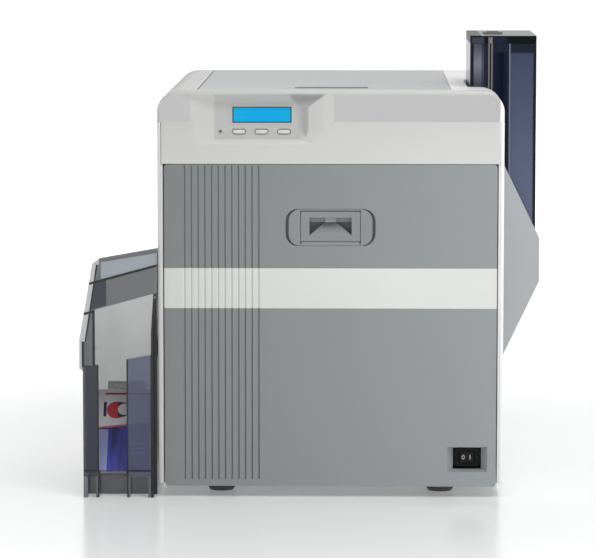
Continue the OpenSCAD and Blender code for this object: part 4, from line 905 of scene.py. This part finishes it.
def stacker_plastic():
    """Smoke-gray acrylic. Its front wall is zoned in the front view: the hood's pale window and
    darker band, both bounded by lines z = c + 0.272 x; the light rim along the leaning left wall, x
    = c + 0.154 z, a painted highlight; and the deep posts with the dark outlines that cut edges
    show, painted in as shade. Each zone has its colour and its opacity, and later ones cover
    earlier ones."""
    f = Finish("smoke_gray_stacker")
    x, y, z = f.axes()
    dust, hair = f.noise(30, 4), f.noise(90, 2, (1, 1, 14))
    front = y < STACK_FRONT + 2.3
    hood, roof = z - (x + 205.0) * 0.272, z - (x + 205.0) * 0.166
    lean = x - z * 0.154
    ramp = y.between(4.0, 60.0) * x.between(STACK_X0 + 4.0, STACK_X1 - 4.0) * z.between(70.0, 118.0)
    outlines = (
        lean.between(-240.9, -239.5) * z.between(LEAN_Z, ROOF_Z),       # the leaning wall's inside
        hood.between(HOOD_HIGH - 1.6, HOOD_HIGH + 0.6),                 # over the hood's band
        hood.between(HOOD_LOW - 2.0, HOOD_LOW + 0.4),                   # the hood's lower edge
        x.between(STACK_X0 - 0.8, STACK_X0 + 1.2) * z.between(118.0, LEAN_Z),  # upright rim
        x.between(POST_LEFT - 1.5, POST_LEFT + 0.2) * (z < SHELF_Z + 0.3),     # left post
        x.between(POST_RIGHT - 0.3, POST_RIGHT + 1.3) * (z < POST_RIGHT_Z),    # right post
        x.between(-212.2, -210.0) * z.between(SHELF_Z, HOOD_LOW - 1.0),        # inner left wall
        z.between(23.4, 25.2))                                          # over the floor
    line = (0.004, 0.004, 0.006)
    tone, cover = f.mix(dust * 0.4, linear(50, 54, 68), linear(62, 66, 80)), dust * 0.05 + 0.4
    for where, colour, share in (
            (front * (z > 114.0), linear(104, 107, 114), 0.62),  # above the opening
            (front * (hood > HOOD_LOW), linear(118, 119, 122), 0.82),  # hood
            (front * (hood > HOOD_HIGH) * (x > -204.4), linear(176, 184, 194), 0.74),
            (front * hood.between(172.0, HOOD_HIGH) * (x < -199.6), linear(52, 57, 70), 0.92),
            (front * (z < SHELF_Z) * (x < POST_LEFT), linear(50, 55, 70), 0.9),
            (front * (z < POST_RIGHT_Z) * (x > POST_RIGHT), linear(92, 96, 128), 0.6),
            (front * (z < 19.5), linear(106, 110, 118), 0.86),  # foot
            # painted highlights on the rims of the leaning and upright left walls
            (front * (lean < -240.8) * (z > LEAN_Z), linear(200, 202, 204), 0.96),  # leaning rim
            (front * (x < STACK_X0 - 0.2) * (z < LEAN_Z), linear(196, 198, 200), 0.95),
            # dark outlines painted as shade where cut edges are seen
            (front * outlines[0], line, 0.98),
            (front * (roof > 212.0) * (x > -206.0), linear(112, 115, 121), 0.96),
            # painted highlight on the roof's left end
            (front * (z > ROOF_Z) * (x < -206.0), linear(190, 192, 195), 0.96),  # roof's left end
            *((front * outline, line, 0.98) for outline in outlines[1:7]),
            ((x > STACK_X1 - 2.6) * (z < 180.0) * (y < 12.0), (0.003, 0.003, 0.005), 0.99),
            (front * outlines[7], line, 0.98),
            (ramp, linear(150, 154, 160), 0.1),  # ramp
            # dark outlines painted as shade on the ramp's edges
            (ramp * (z > 97.7), (0.01, 0.01, 0.013), 0.85),  # its top edge
            (ramp * (z > 74.0) * (x < STACK_X0 + 18.4), (0.01, 0.01, 0.013), 0.8)):  # its left edge
        tone = f.mix(where, tone, colour)
        cover = cover + where * (share - cover)
    return f.surface(Base_Color=tone, Alpha=f.calc("MINIMUM", edge_on(f) * 0.3 + cover, 0.99),
                     Roughness=hair * 0.08 + 0.08, Coat_Weight=0.3, Coat_Roughness=0.04,
                     Specular_IOR_Level=0.35, Normal=f.bump(hair, 0.00001, 0.3))


soften(["stacker_body"], stacker_plastic(), 0.25)
web = strip("stacker_floor_web", (STACK_X0 + 2.5, 8.0, 1.0), (STACK_X1 - 2.5, 10.0, 19.4),
            clear_plastic("smoke_web", linear(92, 95, 104), 0.8))
fit(ease(web, 0.2), "stacker", "smoke_gray")
seal = strip("stacker_edge_seal", (STACK_X1 - 0.1, -5.2, 3.0), (-154.9, -2.4, 178.0),
             rubbery("dark_edge_seal", linear(30, 31, 33)))
fit(ease(seal, 0.2), "stacker", "rubber")

# ------------------------------------------------------------------ cards
# Blank white PVC cards wait in the hopper. The one in the stacker has been printed with loose
# shapes: a dark blue lower half, a pale upper half and red accents.
CARD_X, CARD_Z, CARD_W, CARD_LENGTH, ART_H = -217.5, 22.8, 54.0, 85.6, 65.6

soften(["blank_cards"], moulded("white_pvc_card", linear(238, 238, 236), rough=0.28,
                                grain=0.00001, coat=0.3), 0.08)


def card_print():
    """The printed card, u across and v up from its lower left corner, in shares of the art's
    size: a streaked blue field under a pale one, a red disc with a navy crescent, bars, a ring."""
    f = Finish("printed_card_face")
    x, y, z = f.axes()
    u, v = (x - CARD_X) * (1 / CARD_W), (z - CARD_Z) * (1 / ART_H)
    slant = v - u * 0.08
    streak = f.noise(260, 2, (1, 0.1, 0.1))

    def disc(cu, cv, radius):
        """1 inside an oval about (cu, cv), its radius in millimetres across."""
        du, dv = (u - cu) * CARD_W, (v - cv) * CARD_LENGTH
        return (du * du + dv * dv) < radius * radius

    blue = f.mix(streak.past(0.5, 0.16), linear(12, 18, 96), linear(58, 70, 196))
    tone = f.mix(streak * 0.4, linear(232, 231, 235), linear(206, 208, 222))
    for where, colour in (
            (slant < 0.5, blue),
            ((u < 0.3) * (v < 0.5), f.mix(streak, linear(186, 190, 226), linear(120, 128, 200))),
            (disc(0.42, 0.74, 9.0), linear(206, 58, 74)),
            (disc(0.5, 0.745, 8.0) * (u > 0.44), linear(44, 40, 66)),
            (disc(0.55, 0.75, 6.0), linear(226, 224, 230)),
            (v.between(0.93, 0.955) * (u > 0.22), linear(190, 40, 70)),
            (slant.between(0.5, 0.52), linear(214, 96, 108)),
            (u.between(0.2, 0.25) * v.between(0.66, 0.84), linear(52, 50, 78)),
            (u.between(0.68, 0.92) * (v.between(0.32, 0.34) + v.between(0.26, 0.28)
                                      + v.between(0.2, 0.22)), linear(150, 156, 214)),
            (disc(0.8, 0.1, 4.0), linear(222, 70, 90)),
            (disc(0.8, 0.1, 2.4), linear(60, 66, 160))):
        tone = f.mix(where, tone, colour)
    return f.surface(Base_Color=tone, Roughness=streak * 0.08 + 0.32, Specular_IOR_Level=0.25)


soften(["printed_card"], card_print(), 0.08)

# ------------------------------------------------------------------ mechanism
# Behind the door: steel plates carry rubber rollers, a belt and a motor; the film and ribbon
# cassettes, the print head, boards, supply and fan fill the rest.


def circuit_board():
    """Green solder mask with straight copper traces from two crossed wave bands."""
    f = Finish("solder_mask")
    x, y, z = f.axes()
    lane_x, lane_z = f.calc("PINGPONG", x + 400, 1.1), f.calc("PINGPONG", z + 400, 1.3)
    patch = f.noise(28, 1)
    trace = (lane_x < 0.3) * (patch > 0.52) + (lane_z < 0.3) * (patch < 0.42)
    tone = f.mix(trace * 0.55, linear(24, 84, 52), linear(78, 142, 84))
    return f.surface(Base_Color=tone, Roughness=patch * 0.1 + 0.3, Coat_Weight=0.4,
                     Normal=f.bump(trace, 0.00006, 0.5))


soften(["panel_board", "main_board"], circuit_board(), 0.1)
soften(["display_module", "inner_front_frame", "film_cassette_frame", "ribbon_cassette_frame",
        "print_head", "fan_frame", "fan_rotor"],
       moulded("dark_inner_plastic", linear(66, 69, 73)), 0.25)
soften(["power_supply", "feed_motor"],
       plated("painted_steel", linear(150, 153, 157), rough=0.35, metal=0.7), 0.3)
soften(["driven_roller_right", "driven_roller_left", "platen_roller", "backing_roller",
        "drive_belt"], rubbery("roller_rubber", linear(52, 52, 55)), 0.2)
soften(["pinch_roller_right", "pinch_roller_left"],
       plated("ground_steel", linear(205, 208, 212), rough=0.2), 0.2)
soften(["heat_roller"], rubbery("heat_silicone", linear(140, 66, 48), rough=0.6), 0.2)
soften(["film_supply_spool", "film_takeup_spool", "ribbon_supply_spool", "ribbon_takeup_spool"],
       moulded("spool_plastic", linear(196, 198, 202), rough=0.45), 0.2)
soften(["film_web"], clear_plastic("transfer_film", linear(150, 156, 160), 0.5), 0.02)
